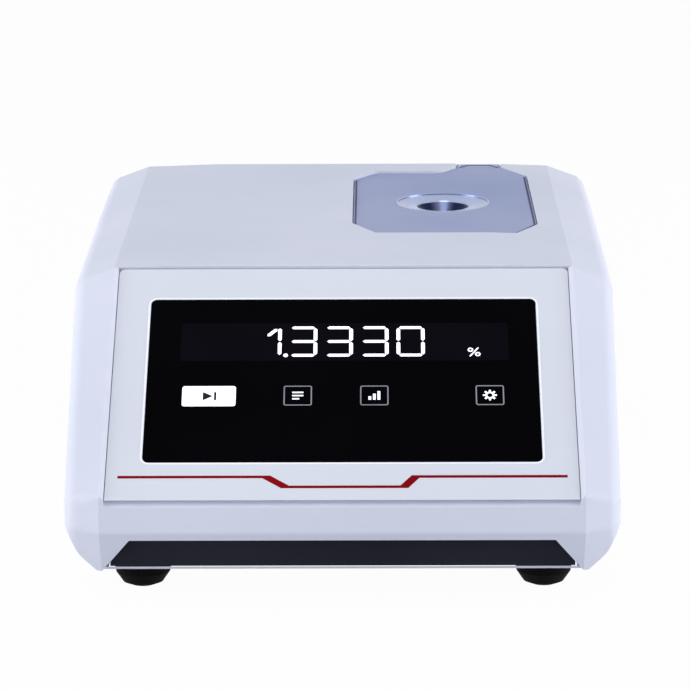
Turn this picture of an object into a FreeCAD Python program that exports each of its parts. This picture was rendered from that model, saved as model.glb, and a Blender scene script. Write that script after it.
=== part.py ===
import FreeCAD
import Part
import math
import os
from FreeCAD import Placement, Rotation, Vector

os.makedirs("parts", exist_ok=True)

# A benchtop refractometer. X is to the user's right, Y to the rear and Z up. The origin is on the
# bench, under the centre of the housing. "Back" is a distance behind the foremost face, and the
# sizes are in millimetres.

# Cover glass and screen module, bought in
glass_width = 156.6
glass_length = 88.3
glass_thickness = 1.4
glass_corner = 2.5
glass_gap = 0.15
glass_ledge = 2.2
screen_side = 4.2
screen_end = 5.85
screen_thickness = 5.7
screen_corner = 1.5
screen_width = glass_width + 2 * screen_side
screen_length = glass_length + 2 * screen_end

# Fascia in the raked front: the screen module lies between its four bosses
fascia_thickness = 2.4
fascia_corner = 2.5
fascia_gap = 0.35
fascia_ledge = 2.8
fascia_foot = 19.5
fascia_brow = 17.6
display_boss_radius = 2.8
display_boss_gap = 0.7
display_boss_inset = 11.5
display_board_gap = 3.0
display_board_margin = 2.4
display_board_end = 4.8
display_pad_width = 14.0
display_pad_length = 50.0
display_pad_inset = 37.5
fascia_opening_gap = 0.65
board_thickness = 1.6
display_boss_half = screen_width / 2 + display_boss_gap + display_boss_radius
display_boss_pitch = screen_length - 2 * display_boss_inset
display_boss_height = screen_thickness + display_board_gap
fascia_width = 2 * (display_boss_half + display_boss_radius + fascia_opening_gap + fascia_ledge)
fascia_length = fascia_foot + glass_length + fascia_brow

# Small screws. Their heads, shanks and holes have few sides, since none of them is a fit
screw_sides = 8
small_screw_radius = 1.25
small_head_radius = 2.3
small_head_height = 1.6
flat_head_height = 1.1
small_screw_grip = 5.0
screw_clearance = 0.15
screw_tip_gap = 0.2
screw_hole_spare = 1.0

# Housing: one moulded cover with a raked front, a gently rising top and bevelled cheeks
depth = 330.0
wall = 3.0
cheek_band = 2.25
cheek_width = 18.0
cheek_proud = 1.5
cheek_angle = 20.0
cheek_reach = 27.5
crease_half = fascia_width / 2 + cheek_band
width = 2 * (crease_half + cheek_width)
lip_narrowing = 4.2
bend_narrowing = 1.23
bend_back = 110.0
widest_back = 240.0
rim_z = 11.6
rim_inset = 15.9
rim_half = width / 2 - rim_inset
flare_angle = 45.0
flare_knee = 7.0
flare_knee_round = 14.0
flare_steep_angle = 68.0
chin_back = 12.0
lip_bottom_z = 29.4
lip_top_z = 42.85
rake = 36.0
brow_land = 1.32
top_slope = 3.0
crown_inset = 32.5
crown_drop = 1.1
side_round = 7.0
lip_round = 3.0
brow_round = 4.0
rear_round = 8.0
cheek_lip_round = 10.0
cheek_brow_round = 18.0
arch_lintel = 3.2
arch_corner_inset = 13.6
arch_foot_inset = 2.2
corner_along = fascia_length + brow_land
top_corner_back = corner_along * math.cos(math.radians(rake)) - cheek_proud * math.sin(math.radians(rake))
top_corner_z = (lip_top_z + corner_along * math.sin(math.radians(rake))
                + cheek_proud * math.cos(math.radians(rake)))

# Sample dish and measuring prism
dish_radius = 21.15
dish_flange = 1.5
dish_flange_width = 3.55
dish_gap = 0.15
dish_body_gap = 0.3
dish_edge = 0.75
dish_edge_drop = 0.35
cone_rim_radius = 11.8
cone_rim_depth = 1.6
prism_window_radius = 7.2
dish_depth = 9.0
gasket_thickness = 0.5
seal_thickness = 0.8
seal_width = 2.4
prism_land = 0.4
prism_length_spare = 2.0
prism_height = 13.0
prism_side_angle = 30.0
prism_gap = 0.3
dish_body_radius = dish_radius - dish_flange_width
seal_outer_radius = prism_window_radius + seal_width
prism_length = 2 * (seal_outer_radius + prism_land)
prism_width = prism_length - prism_length_spare
prism_top_z = -dish_depth - seal_thickness
prism_foot_z = prism_top_z - prism_height

# Temperature control round the prism
clamp_thickness = 3.0
clamp_width = 30.0
clamp_sink = 0.2
holder_front_wall = 2.4
holder_rear_wall = 4.4
holder_screw_gap = 7.0
holder_screw_edge = 4.0
sensor_radius = 1.5
sensor_length = 6.0
sensor_proud = 1.0
sensor_drop = 3.0
peltier_width = 22.0
peltier_height = 20.0
peltier_thickness = 3.6
peltier_gap = 2.0
peltier_sink = 1.0
sink_gap = 0.5
sink_width = 68.0
sink_height = 58.0
sink_base = 4.5
sink_fins = 15
fin_thickness = 1.5
fin_fan_gap = 3.7
holder_bottom = clamp_sink + clamp_thickness - prism_foot_z
holder_front = dish_body_radius + holder_front_wall
holder_rear = dish_body_radius + holder_rear_wall
holder_screw_x = clamp_width / 2 + holder_screw_gap
holder_half_x = holder_screw_x + holder_screw_edge
sensor_z = -holder_bottom / 2 - sensor_drop

# Optics: two tubes in a V below the prism, on a plate at the front of the holder
beam_angle = 30.0
beam_size = 10.0
tube_gap = 1.9
tube_length = 32.0
tube_size = 16.0
tube_bore_radius = 6.0
lens_gap = 0.15
lens_thickness = 3.2
lens_bulge = 1.4
lens_place = 17.0
filter_thickness = 2.0
filter_place = 8.0
bench_thickness = 4.0
bench_margin = 2.1
bench_top = 8.0
bench_bottom = 60.0
bench_shoulder = 6.0
bench_outer_z = 34.0
bench_foot = 16.0
bench_arch = 28.0
bench_pad_half = 9.0
bench_pad_place = 20.0
optics_side_gap = 4.0
led_radius = 2.5
led_height = 6.0
chip_length = 9.0
chip_width = 3.4
chip_thickness = 1.8
sensor_board_length = 34.0
beam_across = math.cos(math.radians(beam_angle))
beam_down = math.sin(math.radians(beam_angle))
tube_start = holder_half_x * beam_across + (holder_bottom + prism_top_z) * beam_down + tube_gap
bench_half = (tube_start + tube_length) * beam_across + tube_size / 2 * beam_down + bench_margin

# Measuring plate, sunk in the top, with a tongue that runs to the rear edge
plate_x = width / 2 - wall - optics_side_gap - bench_half
well_rear = 94.8
well_back = depth - well_rear
plate_sink = 1.15
plate_front_round = 1.0
plate_side_round = 2.0
plate_rear_round = 4.0
tongue_end_round = 0.5
plate_half = 40.0
plate_front = 70.8
plate_chamfer_x = 10.0
plate_chamfer_y = 20.0
plate_rear_chamfer_y = 16.0
plate_thickness = 4.0
plate_gap = 0.45
plate_ledge = 5.0
plate_screw_skin = 1.2
tongue_middle = 18.5
tongue_side = 1.5
tongue_end_gap = 3.8
tongue_straight = 8.2
tongue_rise = 14.2
tongue_sweep = 8.0

# Socket for the pins of a sample cover, let into the rear end of the tongue
socket_width = 17.0
socket_length = 9.0
socket_height = 7.0
socket_pin_radius = 1.6
socket_pin_edge = 4.0
socket_pin_depth = 6.0
socket_gap = 0.3
tongue_left = tongue_middle - socket_width / 2 - tongue_side
tongue_right = tongue_middle + socket_width / 2 + tongue_side
tongue_end = well_rear - tongue_end_gap
tongue_neck = tongue_end - tongue_straight
plate_rear = tongue_neck - tongue_rise
sink_top = plate_thickness + wall + sink_gap

# Base tray and feet
tray_front_back = 15.0
tray_bottom_z = 12.8
tray_thickness = 2.5
tray_inset = 5.2
tray_rim_height = 10.0
tray_rim_end = 8.0
tray_front_height = 26.0
tray_gap = 0.4
tray_half = rim_half - tray_inset
vent_slots = 9
vent_length = 60.0
vent_width = 2.4
vent_pitch = 6.0
vent_back = 130.0
lug_length = 12.0
lug_height = 10.0
lug_gap = 2.4
lug_reach = 13.0
lug_end = 62.0
foot_back = 37.0
foot_radius = 12.2
foot_flat_radius = 4.6
foot_screw_radius = 2.0
foot_screw_sink = 6.0
foot_screw_spare = 1.0
foot_nut_width = 7.0
foot_nut_height = 3.2
foot_nut_gap = 0.5

# Rear panel
panel_recess = 9.0
panel_thickness = 1.6
panel_inset = 30.5
panel_foot_gap = 3.5
panel_head_gap = 7.0
panel_lap = 4.0
panel_frame = 5.0
panel_screw_inset = 12.0
connector_gap = 0.3
panel_half = width / 2 - panel_inset
panel_low_z = tray_bottom_z + tray_thickness + panel_foot_gap

# Main board on its standoffs
standoff_height = 8.0
standoff_width = 5.5
standoff_side_edge = 5.0
standoff_front_edge = 8.0
standoff_rear_edge = 23.1
main_board_inset = 11.0
main_board_front_back = 76.0
board_side_gap = 2.5
processor_size = 30.0
processor_height = 2.4
processor_place = 60.0
spreader_height = 8.0
spreader_base = 2.0
spreader_fins = 7
spreader_fin = 1.4
chip_size = 12.0
chip_height = 1.8
chip_count = 4
chip_pitch = 22.0
chip_place = 20.0
main_board_half = panel_half - main_board_inset
main_board_rear_back = depth - panel_recess - panel_thickness - connector_gap
tray_rim_half = main_board_half + board_side_gap + tray_thickness
foot_half_x = tray_rim_half + foot_nut_width / 2 + foot_nut_gap
board_bottom_z = tray_bottom_z + tray_thickness + standoff_height
board_top_z = board_bottom_z + board_thickness

# Connectors, each placed from the panel's left edge
inlet_place = 18.0
inlet_width = 9.0
inlet_height = 11.0
inlet_depth = 14.4
inlet_floor = 4.0
inlet_hole_radius = 3.2
inlet_hole_rise = 0.5
inlet_pin_radius = 1.0
inlet_pin_gap = 1.5
round_place = 35.0
round_width = 14.0
round_height = 13.0
round_depth = 12.8
round_floor = 4.0
round_hole_radius = 4.6
round_core_gap = 1.1
round_core_gap_deep = 2.0
round_pin_size = 1.1
round_pin_circle = 2.2
round_pins = 6
ethernet_place = 55.0
ethernet_width = 15.9
ethernet_height = 13.3
ethernet_depth = 21.0
ethernet_hole_width = 11.8
ethernet_hole_height = 6.8
ethernet_hole_depth = 13.0
ethernet_sill = 2.4
ethernet_latch_width = 6.2
ethernet_latch_height = 1.6
usb_place = 94.0
usb_spacing = 4.4
usb_count = 2
usb_width = 13.1
usb_height = 5.7
usb_depth = 14.0
usb_floor = 3.0
usb_wall = 0.5
usb_tongue = 1.8
usb_tongue_drop = 0.6
usb_tongue_side = 1.2
usb_tongue_sink = 1.5
serial_place = 130.0
serial_spacing = 24.99
serial_shell_width = 16.9
serial_shell_height = 8.4
serial_shell_reach = 5.8
serial_shell_wall = 0.6
serial_shell_round = 1.6
serial_shell_lean = 1.4
serial_flange_side = 2.9
serial_flange_height = 12.5
serial_flange_thickness = 1.2
serial_body_inset = 6.0
serial_body_depth = 12.0
serial_body_drop = 1.0
serial_pin_size = 0.9
serial_pin_pitch = 2.77
serial_row_half = 1.42
serial_pin_sink = 1.0
serial_rows = (5, 4)
jack_width = 4.8
jack_length = 5.0
jack_thread_radius = 1.3
jack_thread_depth = 4.0
jack_stem_spare = 2.0

# Fan: it clears the serial connector below it
fan_size = 60.0
fan_depth = 15.0
fan_foot_gap = 0.6
fan_rim = 1.5
fan_corner = 3.0
fan_hub_radius = 15.0
fan_base_thickness = 2.5
fan_strut_width = 4.0
fan_struts = 3
fan_screw_edge = 5.0
fan_shaft_radius = 2.0
fan_shaft_end = 3.0
fan_running_gap = 0.05
fan_hub_wall = 1.5
fan_front_gap = 1.0
fan_base_gap = 0.6
fan_tip_gap = 1.0
fan_blades = 7
fan_blade_angle = 38.0
fan_blade_thickness = 1.2
fan_blade_depth = 9.5
grille_slots = 9
grille_pitch = 6.0
grille_slot = 3.0
fan_bore_radius = fan_size / 2 - fan_rim
fan_screw_half = fan_size / 2 - fan_screw_edge
fan_z = board_top_z + serial_flange_height + fan_foot_gap + fan_size / 2
panel_high_z = fan_z + fan_size / 2 + panel_head_gap

# Power switch
switch_place = 30.0
switch_width = 15.0
switch_height = 21.0
switch_flange = 1.6
switch_flange_lap = 1.1
switch_flange_slack = 0.1
switch_body_depth = 14.0
switch_well_depth = 9.0
rocker_side_wall = 0.8
rocker_end_wall = 0.9
rocker_gap = 0.4
rocker_end_gap = 0.6
rocker_throw = 20.0
rocker_pin_radius = 1.2
rocker_pin_gap = 0.05
rocker_pivot_depth = 3.4
rocker_proud = 0.6
rocker_dish = 1.6
rocker_root = 3.0
rocker_taper = 2.0
switch_body_width = switch_width - 2 * switch_flange_lap
switch_body_height = switch_height - 2 * (switch_flange_lap - switch_flange_slack)
rocker_width = switch_body_width - 2 * (rocker_side_wall + rocker_gap)
rocker_height = switch_body_height - 2 * (rocker_end_wall + rocker_gap)

front = -depth / 2
rear = depth / 2
panel_y = rear - panel_recess
inlet_x = inlet_place - panel_half
round_x = round_place - panel_half
ethernet_x = ethernet_place - panel_half
usb_x = usb_place - panel_half
serial_x = serial_place - panel_half
serial_z = board_top_z + serial_flange_height / 2
switch_x = switch_place - panel_half
switch_z = fan_z


def box(x, y, z):
    return Part.makeBox(x[1] - x[0], y[1] - y[0], z[1] - z[0], Vector(x[0], y[0], z[0]))


def about(centre, size):
    return (centre - size / 2, centre + size / 2)


def rod(radius, base, axis, length):
    return Part.makeCylinder(radius, length, base, axis)


def prism_of(points, along):
    return Part.Face(Part.makePolygon(points + [points[0]])).extrude(along)


def turned(points):
    """A solid of revolution about Z, from (radius, height) points."""
    outline = [Vector(r, 0, z) for r, z in points]
    face = Part.Face(Part.makePolygon(outline + [outline[0]]))
    return face.revolve(Vector(0, 0, 0), Vector(0, 0, 1), 360)


def bar(sides, across_flats, base, axis, length):
    """A straight bar with a regular outline, one flat of which faces its own X."""
    radius = across_flats / 2 / math.cos(math.pi / sides)
    turns = [math.pi * (2 * i + 1) / sides for i in range(sides)]
    solid = prism_of([Vector(radius * math.cos(t), radius * math.sin(t), 0) for t in turns],
                     Vector(0, 0, length))
    solid.Placement = Placement(base, Rotation(Vector(0, 0, 1), axis))
    return solid


def screw_hole(base, axis, length, grow=screw_clearance):
    return bar(screw_sides, 2 * (small_screw_radius + grow), base, axis, length)


def fused(shapes):
    return shapes[0].multiFuse(shapes[1:]).removeSplitter()


def group(shapes):
    return Part.makeCompound(shapes)


def screw(base, axis, shank_length, head_height=small_head_height):
    """A small screw. Base is under the head, and the shank runs along the axis."""
    back = Vector(axis).multiply(-head_height)
    head = bar(screw_sides, 2 * small_head_radius, base + back, axis, head_height)
    return head.fuse(screw_hole(base, axis, shank_length, 0)).removeSplitter()


def rounded_outline(points, radii):
    """A closed wire of straight runs through the points, each corner with its own radius."""
    ends = []
    count = len(points)
    for i, (corner, radius) in enumerate(zip(points, radii)):
        before = (points[i - 1] - corner).normalize()
        after = (points[(i + 1) % count] - corner).normalize()
        if radius <= 0:
            ends.append((corner, corner, corner))
            continue
        half = before.getAngle(after) / 2
        reach = radius / math.tan(half)
        middle = (before + after).normalize() * (radius / math.sin(half) - radius)
        ends.append((corner + before * reach, corner + middle, corner + after * reach))
    edges = []
    for i, (start, middle, end) in enumerate(ends):
        if start != end:
            edges.append(Part.Arc(start, middle, end).toShape())
        edges.append(Part.LineSegment(end, ends[(i + 1) % count][0]).toShape())
    return Part.Wire(edges)


def rounded_plate(x, y, z, radius):
    corners = [Vector(x[0], y[0], z[0]), Vector(x[1], y[0], z[0]), Vector(x[1], y[1], z[0]),
               Vector(x[0], y[1], z[0])]
    return Part.Face(rounded_outline(corners, [radius] * 4)).extrude(Vector(0, 0, z[1] - z[0]))


# Frames of reference

def on_fascia(shape):
    """X across, Y up the slope from the front lip and Z out of the fascia's face."""
    place = Placement(Vector(0, front, lip_top_z), Rotation(Vector(1, 0, 0), rake))
    return shape.transformed(place.toMatrix())


def plate_height(back):
    sink = plate_sink / math.cos(math.radians(top_slope))
    return top_corner_z + (back - top_corner_back) * math.tan(math.radians(top_slope)) - sink


def on_plate(shape):
    """The origin is at the well's centre on the plate's face, and Z is out of that face."""
    centre = Vector(plate_x, front + well_back, plate_height(well_back))
    return shape.transformed(Placement(centre, Rotation(Vector(1, 0, 0), top_slope)).toMatrix())


# Housing

def crossing(line_a, line_b):
    (ay, az), (by, bz) = line_a[0], line_b[0]
    a = math.radians(line_a[1])
    b = math.radians(line_b[1])
    across = math.cos(a) * math.sin(b) - math.sin(a) * math.cos(b)
    along = ((by - ay) * math.sin(b) - (bz - az) * math.cos(b)) / across
    return ay + along * math.cos(a), az + along * math.sin(a)


def inward(line, distance):
    (y, z), angle = line
    turn = math.radians(angle)
    return (y + math.sin(turn) * distance, z - math.cos(turn) * distance), angle


def side_profile(x, radii, drop=0.0, crown=0.0, skin=0.0, rake_skin=0.0, bottom=rim_z):
    """The housing's outline seen from the side, moved inward by the drop and the skin."""
    chin_angle = math.degrees(math.atan2(lip_bottom_z - rim_z, -chin_back))
    cheek_z = lip_top_z + cheek_proud / math.cos(math.radians(rake))
    lines = [
        inward(((front, lip_bottom_z), chin_angle), drop + skin),
        inward(((front, 0), 90.0), drop + skin),
        inward(((front, cheek_z), rake), drop + skin + rake_skin),
        inward(((front + top_corner_back, top_corner_z), top_slope), drop + crown + skin),
        inward(((rear, 0), -90.0), skin),
        inward(((0, bottom), 180.0), 0),
    ]
    corners = [crossing(lines[i - 1], lines[i]) for i in range(len(lines))]
    return rounded_outline([Vector(x, y, z) for y, z in corners], radii)


def flattened(form):
    """The same solid, with each of its flat faces on a true plane, which fillets run along cleanly."""
    faces = []
    for face in form.Faces:
        straight = all(edge.Length < edge.Vertexes[0].Point.distanceToPoint(edge.Vertexes[-1].Point) + 1e-6
                       for edge in face.OuterWire.OrderedEdges)
        if face.findPlane(1e-5) is None:
            faces.append(face)
        elif straight:
            corners = [vertex.Point for vertex in face.OuterWire.OrderedVertexes]
            faces.append(Part.Face(Part.makePolygon(corners + [corners[0]])))
        else:
            faces.append(Part.Face(face.OuterWire))
    shell = Part.makeShell(faces)
    shell.sewShape()
    solid = Part.makeSolid(shell)
    if solid.Volume < 0:
        solid.reverse()
    return solid


def side_form(skin=0.0, rake_skin=0.0, bottom=rim_z):
    """The side profile carried across the housing, with cheeks that fall away past the creases."""
    drop = cheek_reach * math.tan(math.radians(cheek_angle))
    middle = (0, lip_round, lip_round, brow_round, rear_round, 0)
    cheek = (0, cheek_lip_round, cheek_lip_round, cheek_brow_round, rear_round, 0)
    if skin:
        middle = cheek = (0, 0, 0, 0, rear_round - skin, 0)
    outer_x = crease_half + cheek_reach
    crown_half = crease_half - crown_inset
    places = [
        (-outer_x, cheek, drop, crown_drop), (-crease_half, middle, 0, crown_drop),
        (-crown_half, middle, 0, 0), (crown_half, middle, 0, 0),
        (crease_half, middle, 0, crown_drop), (outer_x, cheek, drop, crown_drop),
    ]
    profiles = [side_profile(x, radii, fall, crown, skin, rake_skin, bottom)
                for x, radii, fall, crown in places]
    return flattened(Part.makeLoft(profiles, True, True))


def plan_form(inset):
    """The housing seen from above: it widens in two steps to its widest place and then runs straight."""
    half = width / 2 - inset
    slope = (lip_narrowing - bend_narrowing) / bend_back
    steps = [(-wall, half - lip_narrowing - slope * wall), (bend_back, half - bend_narrowing),
             (widest_back, half),
             (depth + wall, half)]
    right = [Vector(x, front + back, 0) for back, x in steps]
    left = [Vector(-p.x, p.y, p.z) for p in reversed(right)]
    return prism_of(right + left, Vector(0, 0, top_corner_z + depth))


def flare_form(inset, bottom):
    """The housing seen from the front: walls that flare from a narrow rim and then steepen."""
    across = inset / math.sin(math.radians(flare_angle))
    slope = math.tan(math.radians(flare_angle))
    reach = width / 2
    low_half = rim_half - across - (rim_z - bottom) / slope
    knee_half = rim_half - across + flare_knee
    knee_z = rim_z + flare_knee * slope
    high_z = knee_z + reach * math.tan(math.radians(flare_steep_angle))
    right = [Vector(low_half, 0, bottom), Vector(knee_half, 0, knee_z),
             Vector(knee_half + reach, 0, high_z)]
    left = [Vector(-p.x, p.y, p.z) for p in reversed(right)]
    outline = rounded_outline(right + left, [0, flare_knee_round, 0, 0, flare_knee_round, 0])
    outline.translate(Vector(0, front - wall, 0))
    return Part.Face(outline).extrude(Vector(0, depth + 2 * wall, 0))


def side_edges(form):
    """Edges round the two side walls, apart from those along the bottom and at the bends of a wall."""
    flat = [face for face in form.Faces if face.findPlane() is not None]
    walls = [face for face in flat if abs(face.normalAt(0, 0).x) > 0.99]
    edges = [edge for face in walls for edge in face.Edges]
    outline = [edge for edge in edges if sum(edge.isSame(other) for other in edges) == 1]
    return [edge for edge in outline if edge.BoundBox.ZMax > form.BoundBox.ZMin + 0.1]


def housing_outer():
    form = side_form().common(plan_form(0)).Solids[0]
    form = form.makeFillet(side_round, side_edges(form))
    return form.common(flare_form(0, rim_z)).Solids[0]


def housing_inner():
    """The space inside the walls. Under the fascia, the walls keep their thickness."""
    low = rim_z - wall
    form = side_form(wall, cheek_proud + fascia_thickness, low)
    return form.common(plan_form(wall)).common(flare_form(wall, low)).Solids[0]


def plate_outline(height, end):
    points = [
        (-plate_half + plate_chamfer_x, -plate_front, plate_front_round),
        (plate_half - plate_chamfer_x, -plate_front, plate_front_round),
        (plate_half, -plate_front + plate_chamfer_y, plate_side_round),
        (plate_half, tongue_neck - 2 * (plate_half - tongue_right), plate_rear_round),
        (tongue_right, tongue_neck, plate_rear_round),
        (tongue_right, end, tongue_end_round),
        (tongue_left, end, tongue_end_round),
        (tongue_left, plate_rear + 1.6 * tongue_sweep, tongue_sweep),
        (tongue_left - tongue_sweep, plate_rear, tongue_sweep),
        (-plate_half + plate_chamfer_x, plate_rear, plate_rear_round),
        (-plate_half, plate_rear - plate_rear_chamfer_y, plate_rear_round),
        (-plate_half, -plate_front + plate_chamfer_y, plate_side_round),
    ]
    return rounded_outline([Vector(x, y, height) for x, y, r in points], [r for x, y, r in points])


def plate_form(grow, low, high, end=tongue_end):
    outline = plate_outline(low, end)
    if grow:
        outline = outline.makeOffset2D(grow)
    return Part.Face(outline).extrude(Vector(0, 0, high - low))


def fascia_pocket():
    """The fascia's seat. Its side walls lean out to the creases of the cheeks."""
    half = fascia_width / 2 + fascia_gap
    lean = crease_half - half
    above = 10.0
    profile = [(-half, -fascia_thickness), (half, -fascia_thickness), (half, 0), (half + lean, cheek_proud),
               (half + lean, above), (-half - lean, above), (-half - lean, cheek_proud), (-half, 0)]
    run_out = 10.0
    length = fascia_length + fascia_gap + run_out
    pocket = prism_of([Vector(x, -run_out, z) for x, z in profile], Vector(0, length, 0))
    return on_fascia(pocket)


def fascia_opening():
    half = fascia_width / 2 - fascia_ledge
    opening = rounded_plate((-half, half), (2 * fascia_ledge, fascia_length - 2 * fascia_ledge),
                            (-fascia_thickness - 3 * wall, 0), fascia_corner)
    return on_fascia(opening)


def arch_opening():
    low = rim_z - wall
    top = lip_bottom_z - arch_lintel
    half = rim_half - arch_corner_inset
    foot_half = rim_half - arch_foot_inset
    foot_half += (foot_half - half) / (top - rim_z) * wall
    profile = [(-foot_half, low), (foot_half, low), (half, top), (-half, top)]
    return prism_of([Vector(x, front - wall, z) for x, z in profile], Vector(0, tray_front_back + wall, 0))


def panel_opening(grow, y):
    half = panel_half - panel_lap + grow
    return box((-half, half), y, (panel_low_z + panel_lap - grow, panel_high_z - panel_lap + grow))


def lug_places():
    floor_z = tray_bottom_z + tray_thickness
    return [(side, y, floor_z) for side in (-1, 1) for y in (front + lug_end, rear - lug_end)]


def lug_middle():
    return (tray_rim_half + tray_half) / 2


def housing_lugs():
    lugs = []
    for side, y, z in lug_places():
        ends = sorted((side * (tray_rim_half + lug_gap), side * (tray_half + lug_reach)))
        lugs.append(box(ends, about(y, lug_length), (z, z + lug_height)))
    return lugs


def lug_holes():
    return [screw_hole(Vector(side * lug_middle(), y, z), Vector(0, 0, 1),
                       small_screw_grip + screw_hole_spare)
            for side, y, z in lug_places()]


def housing():
    outer = housing_outer()
    shell = outer.cut(housing_inner())
    seat = on_plate(plate_form(plate_gap + wall, -plate_thickness - wall, 0))
    frame = panel_opening(panel_frame, (panel_y, rear - wall))
    frame = frame.cut(panel_opening(0, (panel_y - wall, rear)))
    added = [part.common(outer) for part in [seat] + housing_lugs()] + [frame]
    shell = shell.multiFuse(added)
    cuts = [
        fascia_pocket(), fascia_opening(), arch_opening(),
        on_plate(plate_form(plate_gap, -plate_thickness, plate_thickness)),
        on_plate(plate_form(plate_gap, 0, 3 * plate_thickness, well_rear + rear_round)),
        on_plate(plate_form(-plate_ledge, -3 * plate_thickness, plate_thickness,
                            plate_rear + 2 * plate_ledge)),
        panel_opening(0, (rear - 2 * wall, rear + wall)),
        socket_space(),
    ]
    shell = shell.cut(cuts + lug_holes() + panel_screw_holes() + plate_screw_holes())
    return shell.removeSplitter()


# Fascia and touch screen

def glass_box(grow, z, shrink=0.0):
    half = glass_width / 2 + grow - shrink
    foot = fascia_foot - grow + shrink
    head = fascia_foot + glass_length + grow - shrink
    return rounded_plate((-half, half), (foot, head), z, glass_corner)


def display_boss_places():
    middle = fascia_foot + glass_length / 2
    return [(sx * display_boss_half, middle + sy * display_boss_pitch / 2)
            for sx in (-1, 1) for sy in (-1, 1)]


def front_fascia():
    """The plate's lower edge is bevelled to stand upright over the housing's lip."""
    half = fascia_width / 2
    plate = rounded_plate((-half, half), (0, fascia_length), (-fascia_thickness, 0), fascia_corner)
    toe_run = fascia_thickness * math.tan(math.radians(rake))
    toe = [(0, 0), (fascia_corner, 0), (fascia_corner, -fascia_thickness), (toe_run, -fascia_thickness)]
    plate = plate.cut(box((-half, half), (0, fascia_corner), (-fascia_thickness, 0)))
    plate = plate.fuse(prism_of([Vector(-half, y, z) for y, z in toe], Vector(fascia_width, 0, 0)))
    plate = plate.cut([glass_box(glass_gap, (-glass_thickness, 0)),
                       glass_box(0, (-fascia_thickness, 0), glass_ledge)])
    for x, y in display_boss_places():
        foot = Vector(x, y, -fascia_thickness - display_boss_height)
        plate = plate.fuse(rod(display_boss_radius, foot, Vector(0, 0, 1), display_boss_height))
        plate = plate.cut(screw_hole(foot, Vector(0, 0, 1), small_screw_grip + screw_hole_spare))
    return on_fascia(plate.removeSplitter())


def touch_glass():
    return on_fascia(glass_box(0, (-glass_thickness, 0)))


def screen_module():
    middle = fascia_foot + glass_length / 2
    top = -fascia_thickness
    case = rounded_plate(about(0, screen_width), about(middle, screen_length),
                         (top - screen_thickness, top),
                         screen_corner)
    lip = glass_box(-glass_gap, (top, -glass_thickness), glass_ledge)
    return on_fascia(case.fuse(lip).removeSplitter())


def display_board():
    middle = fascia_foot + glass_length / 2
    top = -fascia_thickness - display_boss_height
    half = display_boss_half + display_board_margin
    length = display_boss_pitch + 2 * display_board_end
    board = box((-half, half), about(middle, length), (top - board_thickness, top))
    pad_x = screen_width / 2 - display_pad_inset
    pads = [box(about(x, display_pad_width), about(middle, display_pad_length),
                (top, top + display_board_gap))
            for x in (-pad_x, pad_x)]
    holes = [screw_hole(Vector(x, y, top - board_thickness), Vector(0, 0, 1), board_thickness)
             for x, y in display_boss_places()]
    return on_fascia(board.cut(holes).multiFuse(pads).removeSplitter())


def display_screws():
    base = -fascia_thickness - display_boss_height - board_thickness
    length = board_thickness + small_screw_grip
    return group([on_fascia(screw(Vector(x, y, base), Vector(0, 0, 1), length))
                  for x, y in display_boss_places()])


# Measuring plate, dish and prism

def plate_screw_places():
    reach = plate_half - plate_ledge / 2
    return [(-reach, -plate_front / 2), (reach, -plate_front / 2), (-reach, plate_rear / 2),
            (reach, plate_rear / 2)]


def plate_screw_holes():
    low = -plate_thickness - wall
    return [on_plate(screw_hole(Vector(x, y, low), Vector(0, 0, 1), wall)) for x, y in plate_screw_places()]


def plate_screws():
    low = -plate_thickness - wall
    grip = -plate_screw_skin - screw_tip_gap - low
    return group([on_plate(screw(Vector(x, y, low), Vector(0, 0, 1), grip))
                  for x, y in plate_screw_places()])


def holder_screw_places():
    ends = (-holder_front + holder_screw_edge, holder_rear - holder_screw_edge)
    return [(sx * holder_screw_x, y) for sx in (-1, 1) for y in ends]


def measuring_plate():
    plate = plate_form(0, -plate_thickness, 0)
    seat_depth = dish_flange + gasket_thickness
    cuts = [rod(dish_radius + dish_gap, Vector(0, 0, -seat_depth), Vector(0, 0, 1), plate_thickness),
            rod(dish_body_radius + dish_body_gap, Vector(0, 0, -plate_thickness), Vector(0, 0, 1),
                plate_thickness)]
    blind = plate_thickness - plate_screw_skin
    cuts += [screw_hole(Vector(x, y, -plate_thickness), Vector(0, 0, 1), blind)
             for x, y in plate_screw_places() + holder_screw_places()]
    return on_plate(plate.cut(cuts)).cut(socket_space())


def sample_dish():
    rim = dish_radius - dish_edge
    points = [
        (prism_window_radius, -dish_depth), (cone_rim_radius, -cone_rim_depth), (rim, -dish_edge_drop),
        (rim, 0),
        (dish_radius, 0), (dish_radius, -dish_flange), (dish_body_radius, -dish_flange),
        (dish_body_radius, -dish_depth),
    ]
    return on_plate(turned(points))


def dish_gasket():
    outer = dish_radius - dish_gap
    top = -dish_flange
    inner = dish_body_radius + dish_body_gap
    return on_plate(turned([(inner, top), (outer, top), (outer, top - gasket_thickness),
                            (inner, top - gasket_thickness)]))


def prism_seal():
    return on_plate(turned([(prism_window_radius, prism_top_z), (seal_outer_radius, prism_top_z),
                            (seal_outer_radius, -dish_depth), (prism_window_radius, -dish_depth)]))


def measuring_prism():
    top = prism_top_z
    lean = prism_height * math.tan(math.radians(prism_side_angle)) / 2
    half = prism_length / 2
    points = [(-half, top), (half, top), (half - lean, top - prism_height),
              (-half + lean, top - prism_height)]
    return on_plate(prism_of([Vector(x, -prism_width / 2, z) for x, z in points],
                             Vector(0, prism_width, 0)))


def along_beam(shape, side):
    """Moves a piece from the Z axis to the beam, which runs down from the prism's face."""
    turn = Rotation(Vector(0, 1, 0), side * (180 - (90 - beam_angle)))
    return on_plate(shape.transformed(Placement(Vector(0, 0, prism_top_z), turn).toMatrix()))


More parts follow.
